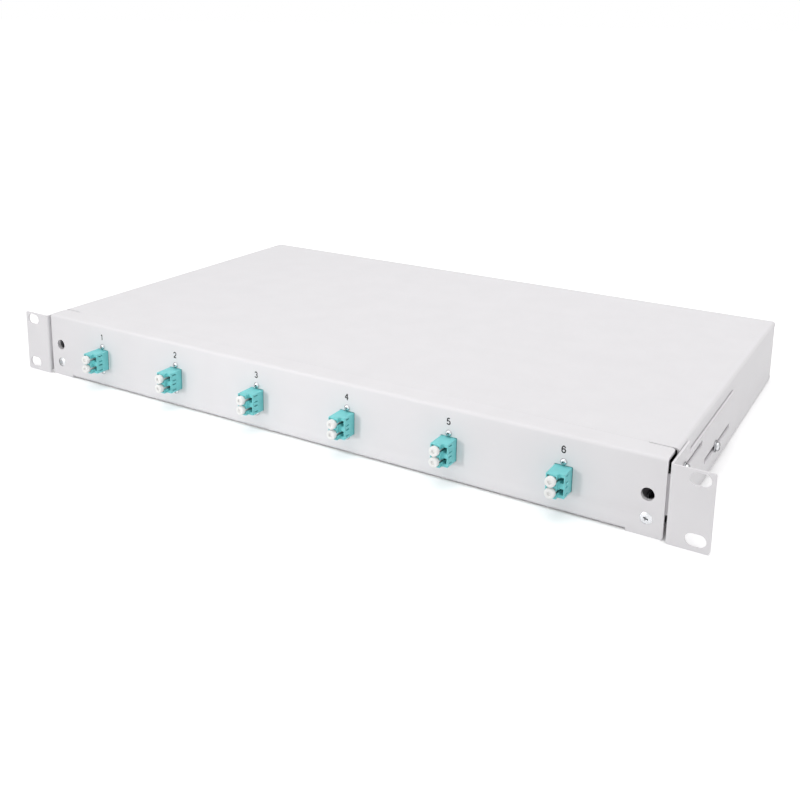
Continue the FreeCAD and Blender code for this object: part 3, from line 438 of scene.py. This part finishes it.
def ring_stack(name, profile, steps):
    """Round piece about +Z, drawn up ring by ring from (height, radius) pairs."""
    height, radius = profile[0]
    bpy.ops.object.select_all(action="DESELECT")
    bpy.ops.mesh.primitive_circle_add(vertices=steps, radius=radius, fill_type="NGON", location=(0, 0, height))
    obj = bpy.context.object
    obj.name = name
    fix_place(obj)
    with edit_mode(obj):
        bpy.ops.mesh.select_all(action="SELECT")
        for next_height, next_radius in profile[1:]:
            bpy.ops.mesh.extrude_region_move(TRANSFORM_OT_translate={"value": (0, 0, next_height - height)})
            scale = next_radius / radius
            bpy.ops.transform.resize(value=(scale, scale, 1), center_override=(0, 0, next_height))
            height, radius = next_height, next_radius
        bpy.ops.mesh.select_all(action="SELECT")
        bpy.ops.mesh.normals_make_consistent(inside=False)
    return obj


def tapered_bar(span, width, depth, top):
    """Bar along X that narrows downwards from its top, for cutting one line of a cross recess."""
    foot_scale = (0.35, 0.6, 1)
    bpy.ops.object.select_all(action="DESELECT")
    bpy.ops.mesh.primitive_cube_add(size=1, location=(0, 0, top))
    bar = bpy.context.object
    bar.scale = (span, width, 2 * depth)
    fix_place(bar)
    with edit_mode(bar) as mesh:
        pick(bar, mesh.faces, lambda face: face.normal.z < -0.5)
        bpy.ops.transform.resize(value=foot_scale, center_override=(0, 0, top - depth))
    return bar


def carve(obj, cutter):
    """Cuts one object out of another and removes the cutter."""
    apply_modifier(obj, "BOOLEAN", operation="DIFFERENCE", solver="EXACT", object=cutter)
    bpy.data.objects.remove(cutter)


def cut_cross(obj, span, width, depth, top):
    """Cuts a cross recess into a screw's head."""
    for turn in (0, 90):
        bar = tapered_bar(span, width, depth, top)
        bar.data.transform(Matrix.Rotation(math.radians(turn), 4, "Z"))
        carve(obj, bar)


def thread_profile(start, end, radius, pitch):
    """(height, radius) pairs of a shank with thread ridges, from start up to end."""
    turns = max(1, int((end - start) / pitch))
    root = radius - 0.5 * pitch
    rings = [(start, root * 0.8)]
    for turn in range(turns):
        rings += [(start + (turn + 0.45) * pitch, root), (start + (turn + 0.9) * pitch, radius)]
    return rings + [(end, root)]


def facing(direction, turn=0.0):
    """Turn that points +Z in a direction, after a turn about +Z in degrees."""
    aim = direction.to_track_quat("Z", "Y").to_matrix().to_4x4()
    return aim @ Matrix.Rotation(math.radians(turn), 4, "Z")


def copy_at(master, name, matrix):
    """Copy of a master with its own mesh, at a place."""
    copy = bpy.data.objects.new(name, master.data.copy())
    copy.data.transform(matrix)
    bpy.context.collection.objects.link(copy)
    return copy


def copies(master, name, matrices):
    """Copies of a master at those places, joined into one object. The master is removed."""
    made = [copy_at(master, name, matrix) for matrix in matrices]
    bpy.data.objects.remove(master)
    return join(name, made)


def join(name, pieces):
    """One object from several."""
    activate(pieces[0])
    for piece in pieces:
        piece.select_set(True)
    bpy.ops.object.join()
    pieces[0].name = name
    return pieces[0]


def middle(node):
    """Middle of a CAD node's box."""
    low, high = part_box(node)
    return (Vector(low) + Vector(high)) / 2


def cutter_box(low, high):
    """Box between two corners, for cutting."""
    bpy.ops.object.select_all(action="DESELECT")
    bpy.ops.mesh.primitive_cube_add(size=1, location=(Vector(low) + Vector(high)) / 2)
    box = bpy.context.object
    box.scale = Vector(high) - Vector(low)
    fix_place(box)
    return box


def box_heights(node, margin):
    """Lowest and highest middle of a node's round pieces, whose radius is the margin."""
    low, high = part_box(node)
    return [low[2] + margin, high[2] - margin]


def level_splits(heights):
    """Splits along level planes at those heights."""
    return [(UP, height) for height in heights]


# Pieces


def finish_nodes(finish, *nodes):
    """Gives CAD nodes that keep their own shape a finish."""
    for node in nodes:
        paint(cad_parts[node], finish)


class SheetMetal(bpy.types.Operator):
    """Coated sheet pieces with slightly rounded edges."""

    bl_idname = "splice_box.sheet_metal"
    bl_label = "Sheet metal"

    def execute(self, context):
        details = context.scene.splice_box_details
        edge = details.sheet_edge
        hole_heights = [middle("panel_screws").z, details.lock_height]
        bracket_heights = box_heights("bracket_washers", WASHER_RADIUS)
        adapter_heights = box_heights("adapter_screws", ADAPTER_SCREW_HEAD_RADIUS) + [middle("adapter_1").z]
        softened_node("housing", HOUSING, edge, "powder_coat", level_splits(hole_heights + bracket_heights))
        softened_node("front_panel", DRAWER, edge, "powder_coat", level_splits(hole_heights + adapter_heights))
        tray_heights = [middle("stud_nuts").z, middle("blind_plugs").z]
        softened_node("drawer_tray", DRAWER, edge, "powder_coat", level_splits(tray_heights))
        for side in SIDES:
            slots = level_splits(bracket_heights + [details.rack_slot_height, -details.rack_slot_height])
            node = "bracket_" + side
            softened_node(node, node + "_body", edge, "powder_coat", slots, self.slim_bracket)
            finish_nodes("zinc_sheet", "guide_rail_" + side)
            finish_nodes("slide_plastic", "slide_strip_" + side)
        finish_nodes("zinc_sheet", "base_plate", "tie_bridges")
        return {"FINISHED"}

    def slim_bracket(self, bracket):
        """Draws the bracket's sheet as thin as it looks, from behind the ear and from outside the leg, and
        lengthens the leg's tall front."""
        details = bpy.context.scene.splice_box_details
        slim, near = details.bracket_slimming, 0.01 * MM
        sheet, inner_radius = 2.0 * MM, 0.3 * MM
        outer_radius = sheet + inner_radius
        side = 1 if bracket.data.vertices[0].co.x > 0 else -1
        corner_x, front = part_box("bracket_right")[0][:2]
        face_x, bend_x, bend_y = corner_x + sheet, corner_x + outer_radius, inner_radius
        with edit_mode(bracket, "VERT") as mesh:
            pick(bracket, mesh.verts, lambda v: abs(v.co.x) < bend_x + near and v.co.y < bend_y + near
                 and (abs(v.co.x) < face_x - near or v.co.y < -near))
            scale = 1 - slim / outer_radius
            bpy.ops.transform.resize(value=(scale, scale, 1), center_override=(side * corner_x, front, 0))
            move_picked(bracket, mesh.verts, lambda v: face_x - near < abs(v.co.x) < bend_x + near
                        and v.co.y > -near, (-side * slim, 0, 0))
            move_picked(bracket, mesh.verts, lambda v: abs(v.co.x) > face_x - slim - near
                        and -near < v.co.y < bend_y + near, (0, -slim, 0))
            move_picked(bracket, mesh.verts, lambda v: abs(v.co.y - details.leg_front_length) < near,
                        (0, details.leg_front_extra, 0))


class Adapters(bpy.types.Operator):
    """Turquoise adapters with moulded edges, windows over the latches and a notch above the upper port."""

    bl_idname = "splice_box.adapters"
    bl_label = "Adapters"

    def execute(self, context):
        details = context.scene.splice_box_details
        adapter = self.moulded_adapter(details)
        for number in ADAPTERS:
            node = "adapter_" + str(number)
            place = Matrix.Translation(middle(node) - middle("adapter_1"))
            stand_in(copy_at(adapter, node + "_finished", place), DRAWER, node, "adapter_plastic")
        bpy.data.objects.remove(adapter)
        return {"FINISHED"}

    def moulded_adapter(self, details):
        """The first adapter, with its windows and notch cut and its edges rounded."""
        low, high = (Vector(corner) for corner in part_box("adapter_1"))
        centre = middle("adapter_1")
        adapter = copy_node("adapter_1", "adapter")
        front, back = low.y + 4.2 * MM, low.y + 7.3 * MM
        window_depth, half_height, half_latch = 1.1 * MM, 0.36 * MM, 1.85 * MM
        for port in (-0.5, 0.5):
            for edge in (-half_latch, half_latch):
                z = centre.z + port * details.port_pitch + edge
                carve(adapter, cutter_box((high.x - window_depth, front, z - half_height),
                                          (high.x + MM, back, z + half_height)))
        corner = Vector((low.x, low.y, centre.z + details.nose_height / 2))
        carve(adapter, cutter_box(corner + Vector((0.6, -1, -1.7)) * MM, corner + Vector((2.0, 1.5, -0.6)) * MM))
        merge_flats(adapter, ((RIGHT, centre.x), (RIGHT, centre.x - details.port_shift), (BACK, (front + back) / 2)))
        smooth_rounds(adapter)
        soften_edges(adapter, details.moulded_edge)
        return adapter


class DustCaps(bpy.types.Operator):
    """White dust caps: a soft round grip with a small recess, and a neck in the port."""

    bl_idname = "splice_box.dust_caps"
    bl_label = "Dust caps"

    def execute(self, context):
        cap = self.dust_cap(context.scene.splice_box_details)
        for number in ADAPTERS:
            for level in LEVELS:
                node = "dust_cap_" + str(number) + "_" + level
                centre = middle(node)
                place = Matrix.Translation((centre.x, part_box(node)[0][1], centre.z)) @ facing(FRONT)
                stand_in(copy_at(cap, node + "_finished", place), node + "_body", node, "cap_plastic")
        bpy.data.objects.remove(cap)
        return {"FINISHED"}

    def dust_cap(self, details):
        """Dust cap about +Z, with its face at Z = 0."""
        low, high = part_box("dust_cap_1_upper")
        radius, end = (high[0] - low[0]) / 2, low[1] - high[1]
        neck, seat, recess = details.neck_radius, -details.grip_length, 1.1 * MM
        profile = [(end, neck - 0.4 * MM), (end + 0.4 * MM, neck), (seat, neck), (seat, radius - 0.3 * MM),
                   (seat + 0.1 * MM, radius - 0.1 * MM), (seat + 0.3 * MM, radius), (-0.7 * MM, radius),
                   (-0.35 * MM, radius - 0.08 * MM), (-0.1 * MM, radius - 0.32 * MM), (0, radius - 0.65 * MM),
                   (0, recess + 0.25 * MM), (-0.08 * MM, recess + 0.08 * MM), (-0.3 * MM, recess),
                   (-1.2 * MM, recess * 0.85)]
        cap = ring_stack("dust_cap", profile, details.round_steps)
        smooth_rounds(cap, 50)
        return cap


def pan_head_screw(name, head_radius, head_height, radius, length, pitch, steps):
    """Pan head screw about +Z: its head stands on Z = 0 and its thread runs down from there."""
    profile = thread_profile(-length, 0, radius, pitch)
    profile += [(0, head_radius * 0.97), (head_height * 0.08, head_radius), (head_height * 0.5, head_radius * 0.98),
                (head_height * 0.75, head_radius * 0.88), (head_height * 0.92, head_radius * 0.68),
                (head_height, head_radius * 0.4)]
    screw = ring_stack(name, profile, steps)
    cut_cross(screw, head_radius * 1.3, head_radius * 0.32, head_height * 0.9, head_height)
    smooth_rounds(screw)
    return screw


class AdapterScrews(bpy.types.Operator):
    """Small cross-head screws above and below each adapter."""

    bl_idname = "splice_box.adapter_screws"
    bl_label = "Adapter screws"

    def execute(self, context):
        low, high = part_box("adapter_screws")
        head_radius = ADAPTER_SCREW_HEAD_RADIUS
        shank_radius, pitch, steps = 0.98 * MM, 0.4 * MM, 32
        screw = pan_head_screw("adapter_screw", head_radius, -low[1], shank_radius, high[1], pitch, steps)
        heights = (high[2] - head_radius, low[2] + head_radius)
        places = [Vector((middle("adapter_" + str(number)).x, 0, z)) for number in ADAPTERS for z in heights]
        turn = 37
        matrices = [Matrix.Translation(place) @ facing(FRONT, turn * index) for index, place in enumerate(places)]
        screws = copies(screw, "adapter_screws_finished", matrices)
        paint(screws, "bright_zinc")
        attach(screws, DRAWER)
        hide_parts("adapter_screws")
        finish_nodes("bright_zinc", "adapter_nuts", "stud_nuts")
        return {"FINISHED"}


class BracketScrews(bpy.types.Operator):
    """Cross-head screws and washers on the bracket legs."""

    bl_idname = "splice_box.bracket_screws"
    bl_label = "Bracket screws"

    def execute(self, context):
        low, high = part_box("bracket_screws")
        washer_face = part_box("bracket_washers")[1][0]
        head_radius, head_height = BRACKET_SCREW_HEAD_RADIUS, high[0] - washer_face
        shank_radius, pitch, nut_reach, steps = 1.48 * MM, 0.5 * MM, 4.0 * MM, 40
        seat = washer_face - context.scene.splice_box_details.bracket_slimming
        length = seat - (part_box("side_nuts")[1][0] - nut_reach)
        screw = pan_head_screw("bracket_screw", head_radius, head_height, shank_radius, length, pitch, steps)
        front = (low[1] + head_radius, high[2] - head_radius)
        rear = (high[1] - head_radius, low[2] + head_radius)
        matrices = []
        for side in (-1, 1):
            for (y, z), turn in ((front, 25), (rear, 75)):
                matrices.append(Matrix.Translation((side * seat, y, z)) @ facing(side * RIGHT, turn))
        screws = copies(screw, "bracket_screws_finished", matrices)
        paint(screws, "bright_zinc")
        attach(screws, HOUSING)
        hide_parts("bracket_screws")
        finish_nodes("dark_steel", "side_nuts")
        heights = level_splits([front[1], rear[1]])
        edge = 0.1 * MM
        softened_node("bracket_washers", HOUSING, edge, "bright_zinc", heights, self.seat_washers)
        return {"FINISHED"}

    def seat_washers(self, washers):
        """Moves the washers of both sides in against the legs."""
        slim = bpy.context.scene.splice_box_details.bracket_slimming
        with edit_mode(washers, "VERT") as mesh:
            for side in (-1, 1):
                move_picked(washers, mesh.verts, lambda v: v.co.x * side > 0, (-side * slim, 0, 0))


class PanelScrews(bpy.types.Operator):
    """Raised countersunk screws at the panel's ends."""

    bl_idname = "splice_box.panel_screws"
    bl_label = "Panel screws"

    def execute(self, context):
        low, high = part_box("panel_screws")
        head_radius = (high[2] - low[2]) / 2
        length, dome = high[1], -low[1]
        shank, pitch, recess, steps = 1.48 * MM, 0.5 * MM, 1.5 * MM, 40
        profile = thread_profile(-length, shank - head_radius, shank, pitch)
        profile += [(shank - head_radius, shank), (0, head_radius), (dome * 0.4, head_radius * 0.86),
                    (dome * 0.8, head_radius * 0.6), (dome, head_radius * 0.35)]
        screw = ring_stack("panel_screw", profile, steps)
        cut_cross(screw, head_radius * 1.2, head_radius * 0.32, recess, dome)
        smooth_rounds(screw)
        centre = middle("panel_screws")
        places = ((low[0] + head_radius, 20), (high[0] - head_radius, 70))
        matrices = [Matrix.Translation((x, 0, centre.z)) @ facing(FRONT, turn) for x, turn in places]
        screws = copies(screw, "panel_screws_finished", matrices)
        paint(screws, "bright_zinc")
        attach(screws, DRAWER)
        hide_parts("panel_screws")
        return {"FINISHED"}


def arc(centre, radii, start, end, steps=14):
    """Points along an oval arc, from one angle to another, in degrees from the right."""
    angles = [math.radians(start + (end - start) * step / steps) for step in range(steps + 1)]
    return [(centre[0] + radii[0] * math.cos(angle), centre[1] + radii[1] * math.sin(angle)) for angle in angles]


def number_strokes(number):
    """Strokes of a plain number one unit high, each a line of (across, up) points about its middle."""
    top, foot, side = 0.93, 0.07, 0.235
    strokes = {
        1: [[(-0.17, 0.77), (0.05, top)], [(0.05, top), (0.05, 0)]],
        2: [arc((0, 0.68), (side, 0.25), 170, -35) + [(-side, foot)], [(-side, foot), (side + 0.03, foot)]],
        3: [arc((0, 0.7), (0.2, 0.23), 160, -90), arc((0, 0.28), (side, 0.21), 90, -165)],
        4: [[(0.12, 0), (0.12, top)], [(0.12, top), (-0.26, 0.33)], [(-0.26, 0.33), (0.27, 0.33)]],
        5: [[(0.2, top), (-0.13, top)], [(-0.13, top), (-0.18, 0.46)], arc((0, 0.33), (side, 0.26), 140, -160)],
        6: [arc((0, 0.32), (side, 0.25), 0, 360), arc((0, 0.47), (side, 0.46), 180, 30)],
    }
    return strokes[number]


class Numbers(bpy.types.Operator):
    """Numbers printed on the panel above the adapters."""

    bl_idname = "splice_box.numbers"
    bl_label = "Numbers"

    def execute(self, context):
        details = context.scene.splice_box_details
        for number in ADAPTERS:
            axis = middle("adapter_" + str(number))
            strokes = [self.stroke(points, details) for points in number_strokes(number)]
            digit = join("number_" + str(number), strokes)
            foot = Matrix.Translation((axis.x - details.number_shift, 0, axis.z + details.number_foot))
            digit.data.transform(foot @ Matrix.Rotation(math.radians(90), 4, "X"))
            paint(digit, "printed_ink")
            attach(digit, DRAWER)
        return {"FINISHED"}

    def stroke(self, points, details):
        """Thin print along a line of points in the XY plane, a unit being the number's height."""
        bpy.ops.object.select_all(action="DESELECT")
        bpy.ops.curve.primitive_nurbs_path_add()
        line = bpy.context.object
        line.data.splines.clear()
        spline = line.data.splines.new("POLY")
        spline.points.add(len(points) - 1)
        for point, (across, up) in zip(spline.points, points):
            point.co = (across, up, 0, 1)
        line.data.bevel_depth, line.data.bevel_resolution = details.number_stroke / 2, 2
        line.data.use_fill_caps = True
        bpy.ops.object.convert(target="MESH")
        printed = bpy.context.object
        height = details.number_height
        flat = 2 * details.print_thickness / details.number_stroke
        printed.data.transform(Matrix.Diagonal((height, height, flat, 1)))
        return printed


class CableEntries(bpy.types.Operator):
    """Cable glands and blind plugs at the back."""

    bl_idname = "splice_box.cable_entries"
    bl_label = "Cable entries"

    def execute(self, context):
        body_edge, nut_edge = 0.3 * MM, 0.4 * MM
        for side in SIDES:
            self.gland_cap(side, context.scene.splice_box_details.round_steps)
            across = [(RIGHT, middle("gland_body_" + side).x)]
            softened_node("gland_body_" + side, DRAWER, body_edge, "gland_plastic", across)
            softened_node("gland_locknut_" + side, DRAWER, nut_edge, "gland_plastic", across)
            finish_nodes("black_rubber", "gland_seal_" + side)
        level = level_splits([middle("blind_plugs").z])
        softened_node("blind_plugs", DRAWER, body_edge, "gland_plastic", level)
        softened_node("blind_plug_locknuts", DRAWER, nut_edge, "gland_plastic", level)
        return {"FINISHED"}

    def gland_cap(self, side, steps):
        """Domed cap with grip ribs round its skirt and a round mouth."""
        node = "gland_cap_" + side
        low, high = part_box(node)
        centre = middle(node)
        length, radius = high[1] - low[1], 12.0 * MM
        mouth_radius, room_radius, room_depth, past = 6.5 * MM, 10.05 * MM, 9.0 * MM, 1 * MM
        profile = [(0, radius * 0.97), (length * 0.04, radius), (length * 0.62, radius), (length * 0.76, radius * 0.95),
                   (length * 0.9, radius * 0.82), (length, radius * 0.64)]
        cap = ring_stack(node + "_finished", profile, steps)
        with edit_mode(cap) as mesh:
            # Every second face by its number. The numbers don't run in order round the cap, so the ribs are uneven.
            smallest = 5 * MM * MM
            skirt = [face for face in mesh.faces if abs(face.normal.z) < 0.1 and face.calc_area() > smallest]
            pick(cap, mesh.faces, lambda face: face in skirt and face.index % 2 == 0)
            bpy.ops.mesh.inset(thickness=0.25 * MM, depth=0, use_individual=True)
            bpy.ops.mesh.extrude_faces_move(TRANSFORM_OT_shrink_fatten={"value": -0.7 * MM})
        for bore, depth in ((mouth_radius, length + past), (room_radius, room_depth)):
            carve(cap, ring_stack("bore", [(-past, bore), (depth, bore)], steps))
        smooth_rounds(cap)
        soften_edges(cap, 0.15 * MM)
        cap.data.transform(Matrix.Translation((centre.x, low[1], centre.z)) @ facing(BACK))
        paint(cap, "gland_plastic")
        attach(cap, DRAWER)
        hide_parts(node)


class Cassette(bpy.types.Operator):
    """Splice cassette with its lid, comb, splice protectors and fibres."""

    bl_idname = "splice_box.cassette"
    bl_label = "Splice cassette"

    def execute(self, context):
        edge = context.scene.splice_box_details.moulded_edge
        lengthwise = [(RIGHT, 0)]
        softened_node("splice_cassette", DRAWER, edge, "cassette_plastic", lengthwise)
        softened_node("splice_comb", DRAWER, edge, "cassette_plastic")
        softened_node("cassette_lid", DRAWER, edge, "lid_plastic", lengthwise)
        softened_node("fibre_clips", DRAWER, edge, "clip_plastic")
        finish_nodes("black_plastic", "cassette_nuts")
        finish_nodes("sleeve_plastic", "splice_protectors")
        finish_nodes("plug_plastic", "pigtail_plugs")
        finish_nodes("boot_plastic", "plug_boots")
        for number in ADAPTERS:
            finish_nodes("fibre_coating_" + str(number), "pigtails_" + str(number))
        return {"FINISHED"}


# Studio


def camera_view(turn, dip, roll):
    """Turn of a camera that looks to the back, turned to the left, dipped and rolled."""
    level = Matrix.Rotation(turn, 4, "Z") @ Matrix.Rotation(math.radians(90) - dip, 4, "X")
    return level @ Matrix.Rotation(roll, 4, "Z")


def add_camera(studio):
    """Camera at the photograph's place."""
    camera = bpy.data.objects.new("camera", bpy.data.cameras.new("camera"))
    bpy.context.collection.objects.link(camera)
    camera.data.sensor_width = 36
    camera.data.lens = studio.focal_length
    camera.data.shift_x, camera.data.shift_y = studio.shift
    camera.data.clip_end = 50
    view = camera_view(studio.camera_turn, studio.camera_dip, studio.camera_roll)
    camera.matrix_world = Matrix.Translation(studio.camera_place) @ view
    bpy.context.scene.camera = camera


def add_softbox(name, place, target, width, height, power, spread=180):
    """Square-cornered light that looks at a point and spreads over an angle, in degrees."""
    light = bpy.data.objects.new(name, bpy.data.lights.new(name, "AREA"))
    bpy.context.collection.objects.link(light)
    light.data.shape = "RECTANGLE"
    light.data.size, light.data.size_y = width, height
    light.data.energy = power
    light.data.spread = math.radians(spread)
    light.location = place
    light.rotation_euler = (Vector(target) - Vector(place)).to_track_quat("-Z", "Y").to_euler()


def seen_directly(tree):
    """1 for what the camera sees straight, in a reflection or through clear plastic, as an output."""
    rays = tree.nodes.new("ShaderNodeLightPath")
    total = rays.outputs["Is Camera Ray"]
    for kind in ("Is Glossy Ray", "Is Transmission Ray"):
        either = tree.nodes.new("ShaderNodeMath")
        either.operation = "MAXIMUM"
        tree.links.new(total, either.inputs[0])
        tree.links.new(rays.outputs[kind], either.inputs[1])
        total = either.outputs["Value"]
    return total


def white_room(brightness):
    """World that is white to the eye and lights the box at its own brightness."""
    world = bpy.context.scene.world or bpy.data.worlds.new("room")
    bpy.context.scene.world = world
    world.use_nodes = True
    tree = world.node_tree
    light = tree.nodes["Background"]
    light.inputs["Color"].default_value = (1, 1, 1, 1)
    light.inputs["Strength"].default_value = brightness
    white = tree.nodes.new("ShaderNodeBackground")
    white.inputs["Color"].default_value = (1, 1, 1, 1)
    mix = tree.nodes.new("ShaderNodeMixShader")
    tree.links.new(seen_directly(tree), mix.inputs["Fac"])
    tree.links.new(light.outputs["Background"], mix.inputs[1])
    tree.links.new(white.outputs["Background"], mix.inputs[2])
    tree.links.new(mix.outputs["Shader"], tree.nodes["World Output"].inputs["Surface"])


def floor_finish():
    """Floor that is white to the eye where the light falls and keeps the box's soft shadow near it."""
    material = new_finish("floor_white", Base_Color=(0.8, 0.8, 0.8, 1), Roughness=0.9, Specular_IOR_Level=0)
    tree = material.node_tree
    near, far = bpy.context.scene.splice_box_studio.floor_brightness, 2
    place = add_node(material, "ShaderNodeTexCoord")
    distance = add_node(material, "ShaderNodeVectorMath", operation="LENGTH")
    connect(material, place.outputs["Object"], distance.inputs[0])
    glow = add_node(material, "ShaderNodeMapRange", {"From Min": 0.4, "From Max": 1.2, "To Min": near, "To Max": far})
    connect(material, distance.outputs["Value"], glow.inputs["Value"])
    white = add_node(material, "ShaderNodeBsdfDiffuse")
    connect(material, glow.outputs["Result"], white.inputs["Color"])
    mix = add_node(material, "ShaderNodeMixShader")
    connect(material, seen_directly(tree), mix.inputs["Fac"])
    connect(material, shader_of(material).outputs["BSDF"], mix.inputs[1])
    connect(material, white.outputs["BSDF"], mix.inputs[2])
    connect(material, mix.outputs["Shader"], tree.nodes["Material Output"].inputs["Surface"])
    return material


def add_floor():
    """Wide floor under the box."""
    bpy.ops.object.select_all(action="DESELECT")
    bpy.ops.mesh.primitive_plane_add(size=60, location=(0, 0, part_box("housing")[0][2]))
    floor = bpy.context.object
    floor.name = "floor"
    fix_place(floor)
    floor.data.materials.append(floor_finish())


class Stage(bpy.types.Operator):
    """Floor, lights, white room and camera."""

    bl_idname = "splice_box.stage"
    bl_label = "Stage"

    def execute(self, context):
        studio = context.scene.splice_box_studio
        add_camera(studio)
        add_floor()
        white_room(studio.surround)
        add_softbox("key_light", place=(-0.6, -1.4, 0.25), target=(-0.02, 0, 0.02), width=0.2, height=0.2,
                    power=studio.key_power, spread=28)
        add_softbox("top_light", place=(0.2, 0.0, 1.6), target=(0.1, 0.1, 0), width=1.6, height=1.4,
                    power=studio.top_power)
        context.scene.view_settings.view_transform = "Standard"
        return {"FINISHED"}


class SpliceBoxPanel(bpy.types.Panel):
    """Sidebar panel with the box's sizes, colours and pieces."""

    bl_idname = "VIEW3D_PT_splice_box"
    bl_label = "Splice Box"
    bl_space_type = "VIEW_3D"
    bl_region_type = "UI"
    bl_category = "Splice Box"

    def draw(self, context):
        scene = context.scene
        for group in (scene.splice_box_details, scene.splice_box_finishes, scene.splice_box_studio):
            box = self.layout.box()
            for name in group.__annotations__:
                box.prop(group, name)
        for operator in OPERATORS:
            self.layout.operator(operator.bl_idname)


GROUPS = {"splice_box_details": SpliceBoxDetails, "splice_box_finishes": SpliceBoxFinishes,
          "splice_box_studio": SpliceBoxStudio}
OPERATORS = (SheetMetal, Adapters, DustCaps, AdapterScrews, BracketScrews, PanelScrews, Numbers, CableEntries,
             Cassette, Stage)


def register():
    """Registers the classes and gives the scene their settings."""
    for name, group in GROUPS.items():
        bpy.utils.register_class(group)
        setattr(bpy.types.Scene, name, PointerProperty(type=group))
    for operator in OPERATORS:
        bpy.utils.register_class(operator)
    bpy.utils.register_class(SpliceBoxPanel)


def unregister():
    """Takes the classes and settings away again."""
    bpy.utils.unregister_class(SpliceBoxPanel)
    for operator in reversed(OPERATORS):
        bpy.utils.unregister_class(operator)
    for name, group in GROUPS.items():
        delattr(bpy.types.Scene, name)
        bpy.utils.unregister_class(group)


def main():
    """Makes every piece and the stage."""
    register()
    for operator in OPERATORS:
        category, name = operator.bl_idname.split(".")
        getattr(getattr(bpy.ops, category), name)()


if __name__ == "__main__":
    main()
